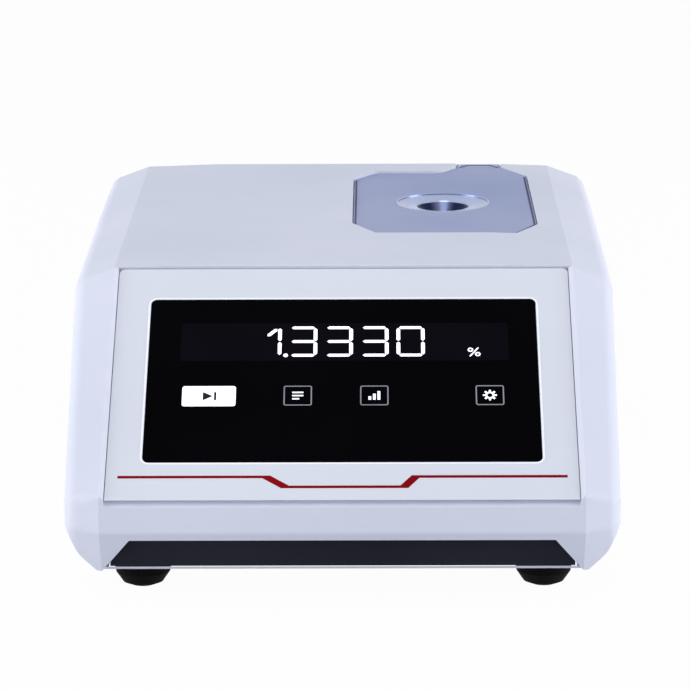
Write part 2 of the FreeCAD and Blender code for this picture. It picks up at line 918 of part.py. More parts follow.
def prism_holder():
    top = -plate_thickness
    body = box((-holder_half_x, holder_half_x), (-holder_front, holder_rear), (-holder_bottom, top))
    half_x = prism_length / 2 + prism_gap
    half_y = prism_width / 2 + prism_gap
    head_width = 2 * (small_head_radius + screw_clearance)
    cuts = [
        rod(dish_body_radius + dish_body_gap, Vector(0, 0, -dish_depth), Vector(0, 0, 1), dish_depth),
        rod(seal_outer_radius + prism_gap, Vector(0, 0, prism_top_z), Vector(0, 0, 1), seal_thickness),
        box((-half_x, half_x), (-half_y, half_y), (prism_foot_z, prism_top_z)),
        box(about(0, clamp_width + 2 * prism_gap), about(0, 2 * half_y), (-holder_bottom, prism_foot_z)),
        rod(sensor_radius + screw_clearance, Vector(0, -holder_front, sensor_z), Vector(0, 1, 0),
            sensor_length),
    ]
    for x, y in holder_screw_places():
        foot = Vector(x, y, -holder_bottom)
        cuts.append(screw_hole(foot, Vector(0, 0, 1), holder_bottom))
        cuts.append(bar(screw_sides, head_width, foot, Vector(0, 0, 1), small_head_height))
    block = on_plate(body.cut(cuts))
    beams = [along_beam(box(about(0, beam_size), about(0, beam_size), (0, tube_start + tube_size)), side)
             for side in (-1, 1)]
    return block.cut(beams).removeSplitter()


def holder_screws():
    base = -holder_bottom + small_head_height
    grip = -plate_screw_skin - screw_tip_gap - base
    return group([on_plate(screw(Vector(x, y, base), Vector(0, 0, 1), grip))
                  for x, y in holder_screw_places()])


def prism_clamp():
    z = (prism_foot_z - clamp_thickness, prism_foot_z)
    return on_plate(box(about(0, clamp_width), about(0, prism_width), z))


def temperature_sensor():
    start = Vector(0, -holder_front - sensor_proud, sensor_z)
    return on_plate(rod(sensor_radius, start, Vector(0, 1, 0), sensor_length))


def peltier_modules():
    top = -plate_thickness - peltier_sink
    spacing = peltier_width + peltier_gap
    return group([on_plate(box(about(side * spacing / 2, peltier_width),
                               (holder_rear, holder_rear + peltier_thickness), (top - peltier_height, top)))
                  for side in (-1, 1)])


def heat_sink():
    """Its fins reach back to the fan. The sink leans with the plate, so its foot comes nearest."""
    near = holder_rear + peltier_thickness
    z = (-sink_top - sink_height, -sink_top)
    slope = math.radians(top_slope)
    room = well_rear - panel_recess - panel_thickness - fan_depth - fin_fan_gap
    far = (room + z[0] * math.sin(slope)) / math.cos(slope)
    parts = [box(about(0, sink_width), (near, near + sink_base), z)]
    pitch = (sink_width - fin_thickness) / (sink_fins - 1)
    for i in range(sink_fins):
        x = -sink_width / 2 + i * pitch
        parts.append(box((x, x + fin_thickness), (near, far), z))
    return on_plate(fused(parts))


# Optics

def optics_tube(side):
    half = tube_size / 2
    tube = box((-half, half), (-half, half), (tube_start, tube_start + tube_length))
    bore = rod(tube_bore_radius, Vector(0, 0, tube_start), Vector(0, 0, 1), tube_length)
    return along_beam(tube.cut(bore), side)


def lens(side):
    radius = tube_bore_radius - lens_gap
    flat = tube_start + lens_place
    rim = flat + lens_thickness - lens_bulge
    turns = [math.radians(angle) for angle in (90, 50, 0)]
    crown = [(radius * math.sin(t), rim + lens_bulge * math.cos(t)) for t in turns]
    return along_beam(turned([(0, flat), (radius, flat)] + crown), side)


def interference_filter():
    return along_beam(rod(tube_bore_radius - lens_gap, Vector(0, 0, tube_start + filter_place),
                          Vector(0, 0, 1),
                          filter_thickness), 1)


def led_board():
    half = tube_size / 2
    end = tube_start + tube_length
    board = box((-half, half), (-half, half), (end, end + board_thickness))
    lamp = rod(led_radius, Vector(0, 0, end - led_height), Vector(0, 0, 1), led_height)
    return along_beam(board.fuse(lamp), 1)


def line_sensor_board():
    half = tube_size / 2
    end = tube_start + tube_length
    board = box((-half, half), about(0, sensor_board_length), (end, end + board_thickness))
    chip = box(about(0, chip_length), about(0, chip_width), (end - chip_thickness, end))
    return along_beam(board.fuse(chip), -1)


def optical_bench():
    """A V-shaped plate on the front of the prism holder, with a pad for each tube."""
    y = -holder_front - bench_thickness
    shoulder = holder_half_x + bench_shoulder
    outline = [(-shoulder, -bench_top), (shoulder, -bench_top), (bench_half, -bench_outer_z),
               (bench_half, -bench_bottom), (bench_half - bench_foot, -bench_bottom),
               (0, bench_arch - bench_bottom),
               (bench_foot - bench_half, -bench_bottom), (-bench_half, -bench_bottom),
               (-bench_half, -bench_outer_z)]
    plate = prism_of([Vector(x, y, z) for x, z in outline], Vector(0, bench_thickness, 0))
    hole = rod(2 * sensor_radius, Vector(0, y, sensor_z), Vector(0, 1, 0), bench_thickness)
    plate = on_plate(plate.cut(hole))
    half = tube_size / 2
    start = tube_start + bench_pad_place - bench_pad_half
    pads = [along_beam(box((-half, half), (-holder_front, -half), (start, start + 2 * bench_pad_half)),
                       side)
            for side in (-1, 1)]
    return fused([plate] + pads)


# Base

def tray_slots():
    slots = []
    for i in range(vent_slots):
        y = front + vent_back + i * vent_pitch
        slots.append(box(about(0, vent_length), about(y, vent_width),
                         (tray_bottom_z, tray_bottom_z + tray_thickness)))
    return slots


def foot_places():
    return [(sx * foot_half_x, sy * (depth / 2 - foot_back)) for sx in (-1, 1) for sy in (-1, 1)]


def standoff_places():
    x = main_board_half - standoff_side_edge
    backs = (main_board_front_back + standoff_front_edge, main_board_rear_back - standoff_rear_edge)
    return [(sx * x, front + back) for sx in (-1, 1) for back in backs]


def base_tray():
    floor_z = (tray_bottom_z, tray_bottom_z + tray_thickness)
    y = (front + tray_front_back, rear - wall - tray_gap)
    floor = box((-tray_half, tray_half), y, floor_z)
    front_wall = box((-tray_half, tray_half), (y[0], y[0] + tray_thickness),
                     (tray_bottom_z, tray_bottom_z + tray_front_height))
    rims = [box(sorted((s * tray_rim_half, s * (tray_rim_half - tray_thickness))),
                (y[0], panel_y - tray_rim_end),
                (tray_bottom_z, floor_z[1] + tray_rim_height)) for s in (-1, 1)]
    holes = [foot_screw_hole(Vector(x, y, tray_bottom_z), tray_thickness) for x, y in foot_places()]
    small_holes = standoff_places() + [(side * lug_middle(), y) for side, y, z in lug_places()]
    holes += [screw_hole(Vector(x, y, tray_bottom_z), Vector(0, 0, 1), tray_thickness)
              for x, y in small_holes]
    return fused([floor, front_wall] + rims).cut(holes + tray_slots())


def tray_screws():
    return group([screw(Vector(side * lug_middle(), y, tray_bottom_z), Vector(0, 0, 1),
                        tray_thickness + small_screw_grip,
                        flat_head_height) for side, y, z in lug_places()])


def feet():
    """Rubber domes, each turned from a quarter of an ellipse that stands on a small flat."""
    height = tray_bottom_z
    bulge = foot_radius - foot_flat_radius
    turns = [math.radians(angle) for angle in (0, 27, 55, 90)]
    points = [(foot_flat_radius + bulge * math.sin(t), height * (1 - math.cos(t))) for t in turns]
    foot = turned([(0, 0)] + points + [(0, height)])
    foot = foot.cut(foot_screw_hole(Vector(0, 0, height - foot_screw_sink), foot_screw_sink))
    return group([foot.translated(Vector(x, y, 0)) for x, y in foot_places()])


def foot_screw_hole(base, length, grow=screw_clearance):
    return bar(screw_sides, 2 * (foot_screw_radius + grow), base, Vector(0, 0, 1), length)


def foot_screws():
    length = foot_screw_sink + tray_thickness + foot_nut_height + foot_screw_spare
    low = tray_bottom_z - foot_screw_sink
    return group([foot_screw_hole(Vector(x, y, low), length, 0) for x, y in foot_places()])


def foot_nuts():
    floor_z = tray_bottom_z + tray_thickness
    nuts = []
    for x, y in foot_places():
        nut = bar(6, foot_nut_width, Vector(x, y, floor_z), Vector(0, 0, 1), foot_nut_height)
        nuts.append(nut.cut(foot_screw_hole(Vector(x, y, floor_z), foot_nut_height)))
    return group(nuts)


def board_standoffs():
    posts = []
    for x, y in standoff_places():
        foot = Vector(x, y, tray_bottom_z + tray_thickness)
        post = bar(6, standoff_width, foot, Vector(0, 0, 1), standoff_height)
        posts.append(post.cut(screw_hole(foot, Vector(0, 0, 1), standoff_height)))
    return group(posts)


def main_board():
    y = (front + main_board_front_back, front + main_board_rear_back)
    board = box((-main_board_half, main_board_half), y, (board_bottom_z, board_top_z))
    holes = [screw_hole(Vector(x, y, board_bottom_z), Vector(0, 0, 1), board_thickness)
             for x, y in standoff_places()]
    return board.cut(holes)


def board_screws():
    length = board_thickness + small_screw_grip / 2
    return group([screw(Vector(x, y, board_top_z), Vector(0, 0, -1), length) for x, y in standoff_places()])


def processor():
    y = front + main_board_front_back + processor_place
    return box(about(0, processor_size), about(y, processor_size),
               (board_top_z, board_top_z + processor_height))


def heat_spreader():
    y = front + main_board_front_back + processor_place
    low = board_top_z + processor_height
    plate = box(about(0, processor_size), about(y, processor_size), (low, low + spreader_base))
    pitch = (processor_size - spreader_fin) / (spreader_fins - 1)
    fins = [box((i * pitch - processor_size / 2, i * pitch - processor_size / 2 + spreader_fin),
                about(y, processor_size), (low, low + spreader_height)) for i in range(spreader_fins)]
    return fused([plate] + fins)


def board_chips():
    y = front + main_board_front_back + chip_place
    first = -(chip_count - 1) * chip_pitch / 2
    return group([box(about(first + i * chip_pitch, chip_size), about(y, chip_size),
                      (board_top_z, board_top_z + chip_height)) for i in range(chip_count)])


# Rear panel and its fittings

def panel_screw_places():
    x = panel_half - panel_lap / 2
    heights = (panel_low_z + panel_screw_inset, panel_high_z - panel_screw_inset)
    return [(sx * x, z) for sx in (-1, 1) for z in heights]


def panel_screw_holes():
    length = small_screw_grip + screw_hole_spare
    return [screw_hole(Vector(x, panel_y, z), Vector(0, 1, 0), length) for x, z in panel_screw_places()]


def rear_panel():
    y = (panel_y - panel_thickness, panel_y)
    plate = box((-panel_half, panel_half), y, (panel_low_z, panel_high_z))
    board = board_top_z
    gap = connector_gap
    cuts = []
    for i in range(grille_slots):
        offset = (i - (grille_slots - 1) / 2) * grille_pitch
        half = math.sqrt((fan_bore_radius - grille_slot / 2) ** 2 - offset ** 2)
        cuts.append(box((plate_x - half, plate_x + half), y, about(fan_z + offset, grille_slot)))
    cuts.append(box(about(switch_x, switch_body_width + 2 * gap), y,
                    about(switch_z, switch_body_height + 2 * gap)))
    cuts.append(box(about(serial_x, serial_shell_width + 2 * gap), y,
                    about(serial_z, serial_shell_height + 2 * gap)))
    for x in jack_places():
        cuts.append(bar(screw_sides, 2 * (jack_thread_radius + gap), Vector(x, y[0], serial_z),
                        Vector(0, 1, 0),
                        panel_thickness))
    for x in usb_places():
        cuts.append(box(about(x, usb_width + 2 * gap), y, (board - gap, board + usb_height + gap)))
    cuts.append(box(about(ethernet_x, ethernet_width + 2 * gap), y,
                    (board - gap, board + ethernet_height + gap)))
    cuts.append(box(about(round_x, round_width + 2 * gap), y, (board - gap, board + round_height + gap)))
    cuts.append(box(about(inlet_x, inlet_width + 2 * gap), y, (board - gap, board + inlet_height + gap)))
    cuts += [screw_hole(Vector(x, y[0], z), Vector(0, 1, 0), panel_thickness)
             for x, z in panel_screw_places() + fan_screw_places()]
    return plate.cut(cuts)


def panel_screws():
    base = panel_y - panel_thickness
    length = panel_thickness + small_screw_grip
    return group([screw(Vector(x, base, z), Vector(0, 1, 0), length) for x, z in panel_screw_places()])


def fan_screw_places():
    return [(plate_x + sx * fan_screw_half, fan_z + sz * fan_screw_half)
            for sx in (-1, 1) for sz in (-1, 1)]


def on_fan(shape):
    """Z of the fan's own frame is its shaft, and points out through the rear panel."""
    place = Placement(Vector(plate_x, panel_y - panel_thickness, fan_z), Rotation(Vector(1, 0, 0), -90))
    return shape.transformed(place.toMatrix())


def fan_frame():
    half = fan_size / 2
    body = rounded_plate((-half, half), (-half, half), (-fan_depth, 0), fan_corner)
    body = body.cut(rod(fan_bore_radius, Vector(0, 0, -fan_depth), Vector(0, 0, 1), fan_depth))
    parts = [body, rod(fan_hub_radius, Vector(0, 0, -fan_base_thickness), Vector(0, 0, 1),
                       fan_base_thickness)]
    for i in range(fan_struts):
        strut = box((fan_hub_radius / 2, fan_bore_radius + fan_rim / 2), about(0, fan_strut_width),
                    (-fan_base_thickness, 0))
        strut.rotate(Vector(0, 0, 0), Vector(0, 0, 1), 90 + i * 360 / fan_struts)
        parts.append(strut)
    parts.append(rod(fan_shaft_radius, Vector(0, 0, fan_shaft_end - fan_depth), Vector(0, 0, 1),
                     fan_depth - fan_shaft_end))
    holes = [screw_hole(Vector(sx * fan_screw_half, sz * fan_screw_half, -fan_depth), Vector(0, 0, 1),
                        fan_depth)
             for sx in (-1, 1) for sz in (-1, 1)]
    return on_fan(fused(parts).cut(holes))


def fan_screws():
    length = panel_thickness + small_screw_grip
    return group([screw(Vector(x, panel_y, z), Vector(0, -1, 0), length) for x, z in fan_screw_places()])


def fan_rotor():
    low = fan_front_gap - fan_depth
    high = -fan_base_thickness - fan_base_gap
    hub = rod(fan_hub_radius, Vector(0, 0, low), Vector(0, 0, 1), high - low)
    hollow = rod(fan_hub_radius - fan_hub_wall, Vector(0, 0, low + fan_hub_wall), Vector(0, 0, 1),
                 high - low)
    sleeve = rod(2 * fan_shaft_radius, Vector(0, 0, low), Vector(0, 0, 1), high - low)
    bore = rod(fan_shaft_radius + fan_running_gap, Vector(0, 0, (low + fan_shaft_end - fan_depth) / 2),
               Vector(0, 0, 1), fan_depth)
    tip = fan_bore_radius - fan_tip_gap
    blades = []
    for i in range(fan_blades):
        blade = box((fan_hub_radius - fan_hub_wall / 2, fan_bore_radius), about(0, fan_blade_thickness),
                    about((low + high) / 2, fan_blade_depth))
        blade.rotate(Vector(0, 0, (low + high) / 2), Vector(1, 0, 0), fan_blade_angle)
        blade.rotate(Vector(0, 0, 0), Vector(0, 0, 1), i * 360 / fan_blades)
        blades.append(blade)
    disc = rod(tip, Vector(0, 0, low), Vector(0, 0, 1), high - low)
    rotor = fused([hub.cut(hollow), sleeve] + blades).common(disc).cut(bore)
    return on_fan(rotor.removeSplitter())


def switch_pivot():
    return Vector(switch_x, panel_y + switch_flange - rocker_pivot_depth, switch_z)


def power_switch():
    y = panel_y
    flange = box(about(switch_x, switch_width), (y, y + switch_flange), about(switch_z, switch_height))
    body = box(about(switch_x, switch_body_width), (y - switch_body_depth, y),
               about(switch_z, switch_body_height))
    well = box(about(switch_x, rocker_width + 2 * rocker_gap), (y - switch_well_depth, y + switch_flange),
               about(switch_z, rocker_height + 2 * rocker_gap))
    pivot = switch_pivot()
    axle = rod(rocker_pin_radius, pivot - Vector(switch_body_width / 2, 0, 0), Vector(1, 0, 0),
               switch_body_width)
    return flange.fuse(body).cut(well).fuse(axle).removeSplitter()


def switch_rocker():
    """The rocker at rest in its off position, tipped by half its throw."""
    pivot = switch_pivot()
    half = rocker_height / 2 - rocker_end_gap
    face = rocker_pivot_depth + rocker_proud
    root_half = half - rocker_taper
    root = (Vector(0, -rocker_root, -root_half), Vector(0, -rocker_root, root_half))
    lip = (Vector(0, face, -half), Vector(0, face, half))
    outline = [Part.LineSegment(root[0], lip[0]).toShape(),
               Part.Arc(lip[0], Vector(0, face - rocker_dish, 0), lip[1]).toShape(),
               Part.LineSegment(lip[1], root[1]).toShape(),
               Part.LineSegment(root[1], root[0]).toShape()]
    body = Part.Face(Part.Wire(outline)).extrude(Vector(rocker_width, 0, 0))
    body.translate(Vector(-rocker_width / 2, 0, 0))
    bore = rod(rocker_pin_radius + rocker_pin_gap, Vector(-rocker_width, 0, 0), Vector(1, 0, 0),
               2 * rocker_width)
    body = body.cut(bore)
    body.rotate(Vector(0, 0, 0), Vector(1, 0, 0), -rocker_throw / 2)
    return body.translated(pivot)


def serial_shell(inset, start, length):
    """The D-shaped shell, wider at the top than at the bottom."""
    half_top = serial_shell_width / 2 - inset
    half_low = half_top - serial_shell_lean
    half_z = serial_shell_height / 2 - inset
    corners = [(-half_low, -half_z), (half_low, -half_z), (half_top, half_z), (-half_top, half_z)]
    outline = rounded_outline([Vector(serial_x + x, start, serial_z + z) for x, z in corners],
                              [serial_shell_round - inset] * 4)
    return Part.Face(outline).extrude(Vector(0, length, 0))


def jack_places():
    return [serial_x + side * serial_spacing / 2 for side in (-1, 1)]


def serial_connector():
    inner = panel_y - panel_thickness
    flange_width = serial_spacing + 2 * serial_flange_side
    flange = box(about(serial_x, flange_width), (inner - serial_flange_thickness, inner),
                 about(serial_z, serial_flange_height))
    body = box(about(serial_x, flange_width - 2 * serial_body_inset),
               (inner - serial_body_depth, inner - serial_flange_thickness),
               (board_top_z, board_top_z + serial_flange_height - serial_body_drop))
    reach = panel_thickness + serial_shell_reach
    solid = fused([flange, body, serial_shell(0, inner - serial_flange_thickness, reach)])
    solid = solid.cut(serial_shell(serial_shell_wall, inner, reach))
    start = inner - serial_flange_thickness
    pin_y = (start, start + reach - serial_pin_sink)
    pins = []
    for count, z in zip(serial_rows, (serial_z + serial_row_half, serial_z - serial_row_half)):
        for i in range(count):
            x = serial_x + (i - (count - 1) / 2) * serial_pin_pitch
            pins.append(box(about(x, serial_pin_size), pin_y, about(z, serial_pin_size)))
    bores = [bar(screw_sides, 2 * (jack_thread_radius + screw_clearance),
                 Vector(x, inner - serial_flange_thickness, serial_z), Vector(0, 1, 0),
                 serial_flange_thickness)
             for x in jack_places()]
    return solid.multiFuse(pins).cut(bores).removeSplitter()


def serial_jackscrews():
    """Hexagonal screws that hold the connector, each with a thread for the plug's own screw."""
    stem_length = panel_thickness + serial_flange_thickness + jack_stem_spare
    screws = []
    for x in jack_places():
        seat = Vector(x, panel_y, serial_z)
        head = bar(6, jack_width, seat, Vector(0, 1, 0), jack_length)
        stem = rod(jack_thread_radius, seat - Vector(0, stem_length, 0), Vector(0, 1, 0), stem_length)
        thread = rod(jack_thread_radius, seat + Vector(0, jack_length - jack_thread_depth, 0),
                     Vector(0, 1, 0),
                     jack_thread_depth)
        screws.append(head.fuse(stem).cut(thread))
    return group(screws)


def usb_places():
    pitch = usb_width + usb_spacing
    return [usb_x + (i - (usb_count - 1) / 2) * pitch for i in range(usb_count)]


def usb_sockets():
    y = panel_y
    base = board_top_z
    sockets = []
    for x in usb_places():
        shell = box(about(x, usb_width), (y - usb_depth, y), (base, base + usb_height))
        hollow = box(about(x, usb_width - 2 * usb_wall), (y - usb_depth + usb_floor, y),
                     (base + usb_wall, base + usb_height - usb_wall))
        top = base + usb_height - usb_wall - usb_tongue_drop
        tongue = box(about(x, usb_width - 2 * usb_tongue_side), (y - usb_depth, y - usb_tongue_sink),
                     (top - usb_tongue, top))
        sockets.append(shell.cut(hollow).fuse(tongue))
    return group(sockets)


def ethernet_socket():
    y = panel_y
    base = board_top_z
    body = box(about(ethernet_x, ethernet_width), (y - ethernet_depth, y), (base, base + ethernet_height))
    low = base + ethernet_sill
    high = low + ethernet_hole_height
    hole = box(about(ethernet_x, ethernet_hole_width), (y - ethernet_hole_depth, y), (low, high))
    latch = box(about(ethernet_x, ethernet_latch_width), (y - ethernet_hole_depth, y),
                (high, high + ethernet_latch_height))
    return body.cut([hole, latch])


def round_socket():
    y = panel_y
    base = board_top_z
    body = box(about(round_x, round_width), (y - round_depth, y), (base, base + round_height))
    centre = Vector(round_x, y - round_depth + round_floor, base + round_height / 2)
    body = body.cut(rod(round_hole_radius, centre, Vector(0, 1, 0), round_depth))
    core = rod(round_hole_radius - round_core_gap, centre, Vector(0, 1, 0),
               round_depth - round_floor - round_core_gap_deep)
    holes = []
    for i in range(round_pins):
        turn = math.pi * (2 * i + 1) / round_pins
        spot = centre + Vector(round_pin_circle * math.cos(turn), 0, round_pin_circle * math.sin(turn))
        holes.append(bar(4, round_pin_size, spot, Vector(0, 1, 0), round_depth))
    return body.fuse(core).cut(holes).removeSplitter()


def power_inlet():
    y = panel_y
    base = board_top_z
    body = box(about(inlet_x, inlet_width), (y - inlet_depth, y), (base, base + inlet_height))
    centre = Vector(inlet_x, y - inlet_depth + inlet_floor, base + inlet_height / 2 + inlet_hole_rise)
    body = body.cut(rod(inlet_hole_radius, centre, Vector(0, 1, 0), inlet_depth))
    pin = rod(inlet_pin_radius, centre, Vector(0, 1, 0), inlet_depth - inlet_floor - inlet_pin_gap)
    return body.fuse(pin).removeSplitter()


# Socket for a sample cover

def socket_block(grow, end):
    x = (tongue_middle - socket_width / 2 - grow, tongue_middle + socket_width / 2 + grow)
    return box(x, (tongue_end - socket_length - grow, end), (-socket_height - grow, grow))


def socket_space():
    """Room for the socket in the plate and the housing, open to the rear."""
    return on_plate(socket_block(socket_gap, well_rear + rear_round))


def cover_socket():
    z = -socket_height / 2
    half = socket_width / 2 - socket_pin_edge
    pins = [rod(socket_pin_radius, Vector(x, tongue_end - socket_pin_depth, z), Vector(0, 1, 0),
                socket_pin_depth)
            for x in (tongue_middle - half, tongue_middle + half)]
    return on_plate(socket_block(0, tongue_end).cut(pins))


nodes = {
    "housing": housing,
    "front_fascia": front_fascia,
    "touch_glass": touch_glass,
    "screen_module": screen_module,
    "display_board": display_board,
    "display_screws": display_screws,
    "measuring_plate": measuring_plate,
    "plate_screws": plate_screws,
    "sample_dish": sample_dish,
    "dish_gasket": dish_gasket,
    "prism_seal": prism_seal,
    "measuring_prism": measuring_prism,
    "prism_holder": prism_holder,
    "holder_screws": holder_screws,
    "prism_clamp": prism_clamp,
    "temperature_sensor": temperature_sensor,
    "peltier_modules": peltier_modules,
    "heat_sink": heat_sink,
    "optical_bench": optical_bench,
    "source_tube": lambda: optics_tube(1),
    "collimator_lens": lambda: lens(1),
    "interference_filter": interference_filter,
    "led_board": led_board,
    "sensor_tube": lambda: optics_tube(-1),
    "imaging_lens": lambda: lens(-1),
    "line_sensor_board": line_sensor_board,
    "base_tray": base_tray,
    "tray_screws": tray_screws,
    "feet": feet,
    "foot_screws": foot_screws,
    "foot_nuts": foot_nuts,
    "board_standoffs": board_standoffs,
    "main_board": main_board,
    "board_screws": board_screws,
    "processor": processor,
    "heat_spreader": heat_spreader,
    "board_chips": board_chips,
    "rear_panel": rear_panel,
    "panel_screws": panel_screws,
    "fan_frame": fan_frame,
    "fan_screws": fan_screws,
    "fan_rotor": fan_rotor,
    "power_switch": power_switch,
    "switch_rocker": switch_rocker,
    "serial_connector": serial_connector,
    "serial_jackscrews": serial_jackscrews,
    "usb_sockets": usb_sockets,
    "ethernet_socket": ethernet_socket,
    "round_socket": round_socket,
    "power_inlet": power_inlet,
    "cover_socket": cover_socket,
}

for name, make in nodes.items():
    shape = make()
    print(f"{name}: {len(shape.Solids)} solids, {shape.Volume:.0f} mm3, valid {shape.isValid()}")
    shape.exportStep(f"parts/{name}.step")
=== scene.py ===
import math

import bmesh
import bpy
from mathutils import Matrix, Vector


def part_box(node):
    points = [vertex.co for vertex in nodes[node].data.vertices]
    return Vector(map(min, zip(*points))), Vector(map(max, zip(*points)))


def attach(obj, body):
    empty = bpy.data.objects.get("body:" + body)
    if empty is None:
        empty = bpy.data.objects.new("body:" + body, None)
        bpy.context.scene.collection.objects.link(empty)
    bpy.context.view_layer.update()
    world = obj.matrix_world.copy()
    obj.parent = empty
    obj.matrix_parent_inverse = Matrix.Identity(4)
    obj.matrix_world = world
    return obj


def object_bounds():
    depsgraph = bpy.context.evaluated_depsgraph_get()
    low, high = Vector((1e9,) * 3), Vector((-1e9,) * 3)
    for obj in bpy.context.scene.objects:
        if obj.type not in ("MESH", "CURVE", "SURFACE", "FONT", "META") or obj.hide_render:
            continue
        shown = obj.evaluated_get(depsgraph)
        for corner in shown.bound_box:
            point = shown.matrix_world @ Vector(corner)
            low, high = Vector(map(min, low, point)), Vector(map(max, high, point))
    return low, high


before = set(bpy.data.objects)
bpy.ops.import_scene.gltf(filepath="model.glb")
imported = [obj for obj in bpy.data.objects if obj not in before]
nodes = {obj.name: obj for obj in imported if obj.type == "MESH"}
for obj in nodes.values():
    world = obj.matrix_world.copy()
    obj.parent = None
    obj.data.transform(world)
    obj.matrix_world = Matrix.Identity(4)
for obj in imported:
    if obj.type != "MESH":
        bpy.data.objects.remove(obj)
cadBox = [list(corner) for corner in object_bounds()]
mm = 0.001


# a screen colour, from 0 to 255, made linear
def srgb(r, g, b):
    def linear(v):
        v /= 255
        return v / 12.92 if v <= 0.04045 else ((v + 0.055) / 1.055) ** 2.4
    return (linear(r), linear(g), linear(b), 1.0)


# a frame whose own x and y lie in a surface and whose z points out of it, origin in mm
def frameAt(origin, xAxis, yAxis):
    x, y = Vector(xAxis).normalized(), Vector(yAxis).normalized()
    turn = Matrix((x, y, x.cross(y))).transposed().to_4x4()
    return Matrix.Translation(Vector(origin) * mm) @ turn


# sets or joins the inputs of a node, which are named or numbered
def feed(tree, node, inputs):
    for key, value in inputs.items():
        if isinstance(value, bpy.types.NodeSocket):
            tree.links.new(value, node.inputs[key])
        else:
            node.inputs[key].default_value = value


def addNode(tree, kind, inputs, **options):
    node = tree.nodes.new(kind)
    for name, value in options.items():
        setattr(node, name, value)
    feed(tree, node, inputs)
    return node


def addMath(tree, operation, *values, clamped=False):
    node = addNode(tree, "ShaderNodeMath", dict(enumerate(values)), operation=operation,
                   use_clamp=clamped)
    return node.outputs[0]


# Camera, where the photograph was taken from

cameraView = {
    "lens": 177.4,            # on a 36 mm sensor
    "sideways": 13.5 * mm,
    "distance": 1281.6 * mm,  # in front of the housing's foremost face
    "height": 348.4 * mm,
    "pitch": 10.8,
    "yaw": 0.54,
    "roll": -0.25,
}

cameraData = bpy.data.cameras.new("camera")
cameraData.lens = cameraView["lens"]
cameraData.sensor_width = 36.0
cameraData.clip_start = 0.05
cameraData.clip_end = 30.0
camera = bpy.data.objects.new("camera", cameraData)
bpy.context.scene.collection.objects.link(camera)
camera.matrix_world = (
    Matrix.Translation((cameraView["sideways"], cadBox[0][1] - cameraView["distance"],
                        cameraView["height"]))
    @ Matrix.Rotation(math.radians(cameraView["yaw"]), 4, "Z")
    @ Matrix.Rotation(math.radians(90 - cameraView["pitch"]), 4, "X")
    @ Matrix.Rotation(math.radians(cameraView["roll"]), 4, "Z")
)
bpy.context.scene.camera = camera
bpy.context.scene.view_settings.view_transform = "Standard"
print("camera in place")


# Studio: a key high in front, a fill on either side, a soft top light and a pale floor

studio = {
    "keySize": 1.3, "keyPower": 10.9, "keyPlace": (-0.15, -1.35, 2.2),
    "fillSize": 1.2, "fillPower": 26.5, "fillPlaces": ((-2.0, -0.45, 0.45), (2.0, -0.45, 0.45)),
    "topSize": 1.2, "topPower": 0.4, "topPlace": (0.0, 0.1, 2.0),
    "aim": (0.0, 0.0, 0.06),
    "worldStrength": 0.46, "worldColour": (0.80, 0.86, 1.0, 1.0),
    "floorSize": 8.0, "floorColour": (0.84, 0.84, 0.86, 1.0),
    "floorGlow": 0.97,        # how far the floor is plain white where it is seen
}


def addArea(name, place, size, power):
    data = bpy.data.lights.new(name, "AREA")
    data.shape = "SQUARE"
    data.size = size
    data.energy = power
    lamp = bpy.data.objects.new(name, data)
    bpy.context.scene.collection.objects.link(lamp)
    aim = (Vector(studio["aim"]) - Vector(place)).to_track_quat("-Z", "Y")
    lamp.matrix_world = Matrix.Translation(place) @ aim.to_matrix().to_4x4()


# 1 for rays that show the background: from the camera, off gloss and through glass
def seenRays(tree):
    path = tree.nodes.new("ShaderNodeLightPath").outputs
    either = addMath(tree, "MAXIMUM", path["Is Camera Ray"], path["Is Glossy Ray"])
    return addMath(tree, "MAXIMUM", either, path["Is Transmission Ray"])


def makeWorld():
    world = bpy.data.worlds.new("studioWorld")
    bpy.context.scene.world = world
    world.use_nodes = True
    tree = world.node_tree
    tree.nodes.clear()
    light = addNode(tree, "ShaderNodeBackground", {
        "Color": studio["worldColour"], "Strength": studio["worldStrength"]})
    seen = addNode(tree, "ShaderNodeBackground", {"Color": (1, 1, 1, 1), "Strength": 1.0})
    mix = addNode(tree, "ShaderNodeMixShader", {
        "Fac": seenRays(tree), 1: light.outputs[0], 2: seen.outputs[0]})
    addNode(tree, "ShaderNodeOutputWorld", {"Surface": mix.outputs[0]})


def makeFloor():
    mesh = bpy.data.meshes.new("floor")
    bm = bmesh.new()
    bmesh.ops.create_grid(bm, x_segments=1, y_segments=1, size=studio["floorSize"] / 2)
    bm.to_mesh(mesh)
    bm.free()
    floor = bpy.data.objects.new("floor", mesh)
    bpy.context.scene.collection.objects.link(floor)
    mat = bpy.data.materials.new("floorWhite")
    mat.use_nodes = True
    tree = mat.node_tree
    tree.nodes.clear()
    matt = addNode(tree, "ShaderNodeBsdfDiffuse", {"Color": studio["floorColour"]})
    glow = tree.nodes.new("ShaderNodeEmission")
    share = addMath(tree, "MULTIPLY", seenRays(tree), studio["floorGlow"])
    mix = addNode(tree, "ShaderNodeMixShader", {
        "Fac": share, 1: matt.outputs[0], 2: glow.outputs[0]})
    addNode(tree, "ShaderNodeOutputMaterial", {"Surface": mix.outputs[0]})
    mesh.materials.append(mat)


addArea("keyLight", studio["keyPlace"], studio["keySize"], studio["keyPower"])
addArea("leftFill", studio["fillPlaces"][0], studio["fillSize"], studio["fillPower"])
addArea("rightFill", studio["fillPlaces"][1], studio["fillSize"], studio["fillPower"])
addArea("topLight", studio["topPlace"], studio["topSize"], studio["topPower"])
makeWorld()
makeFloor()
print("studio lit")


# Shared effects, each a node group

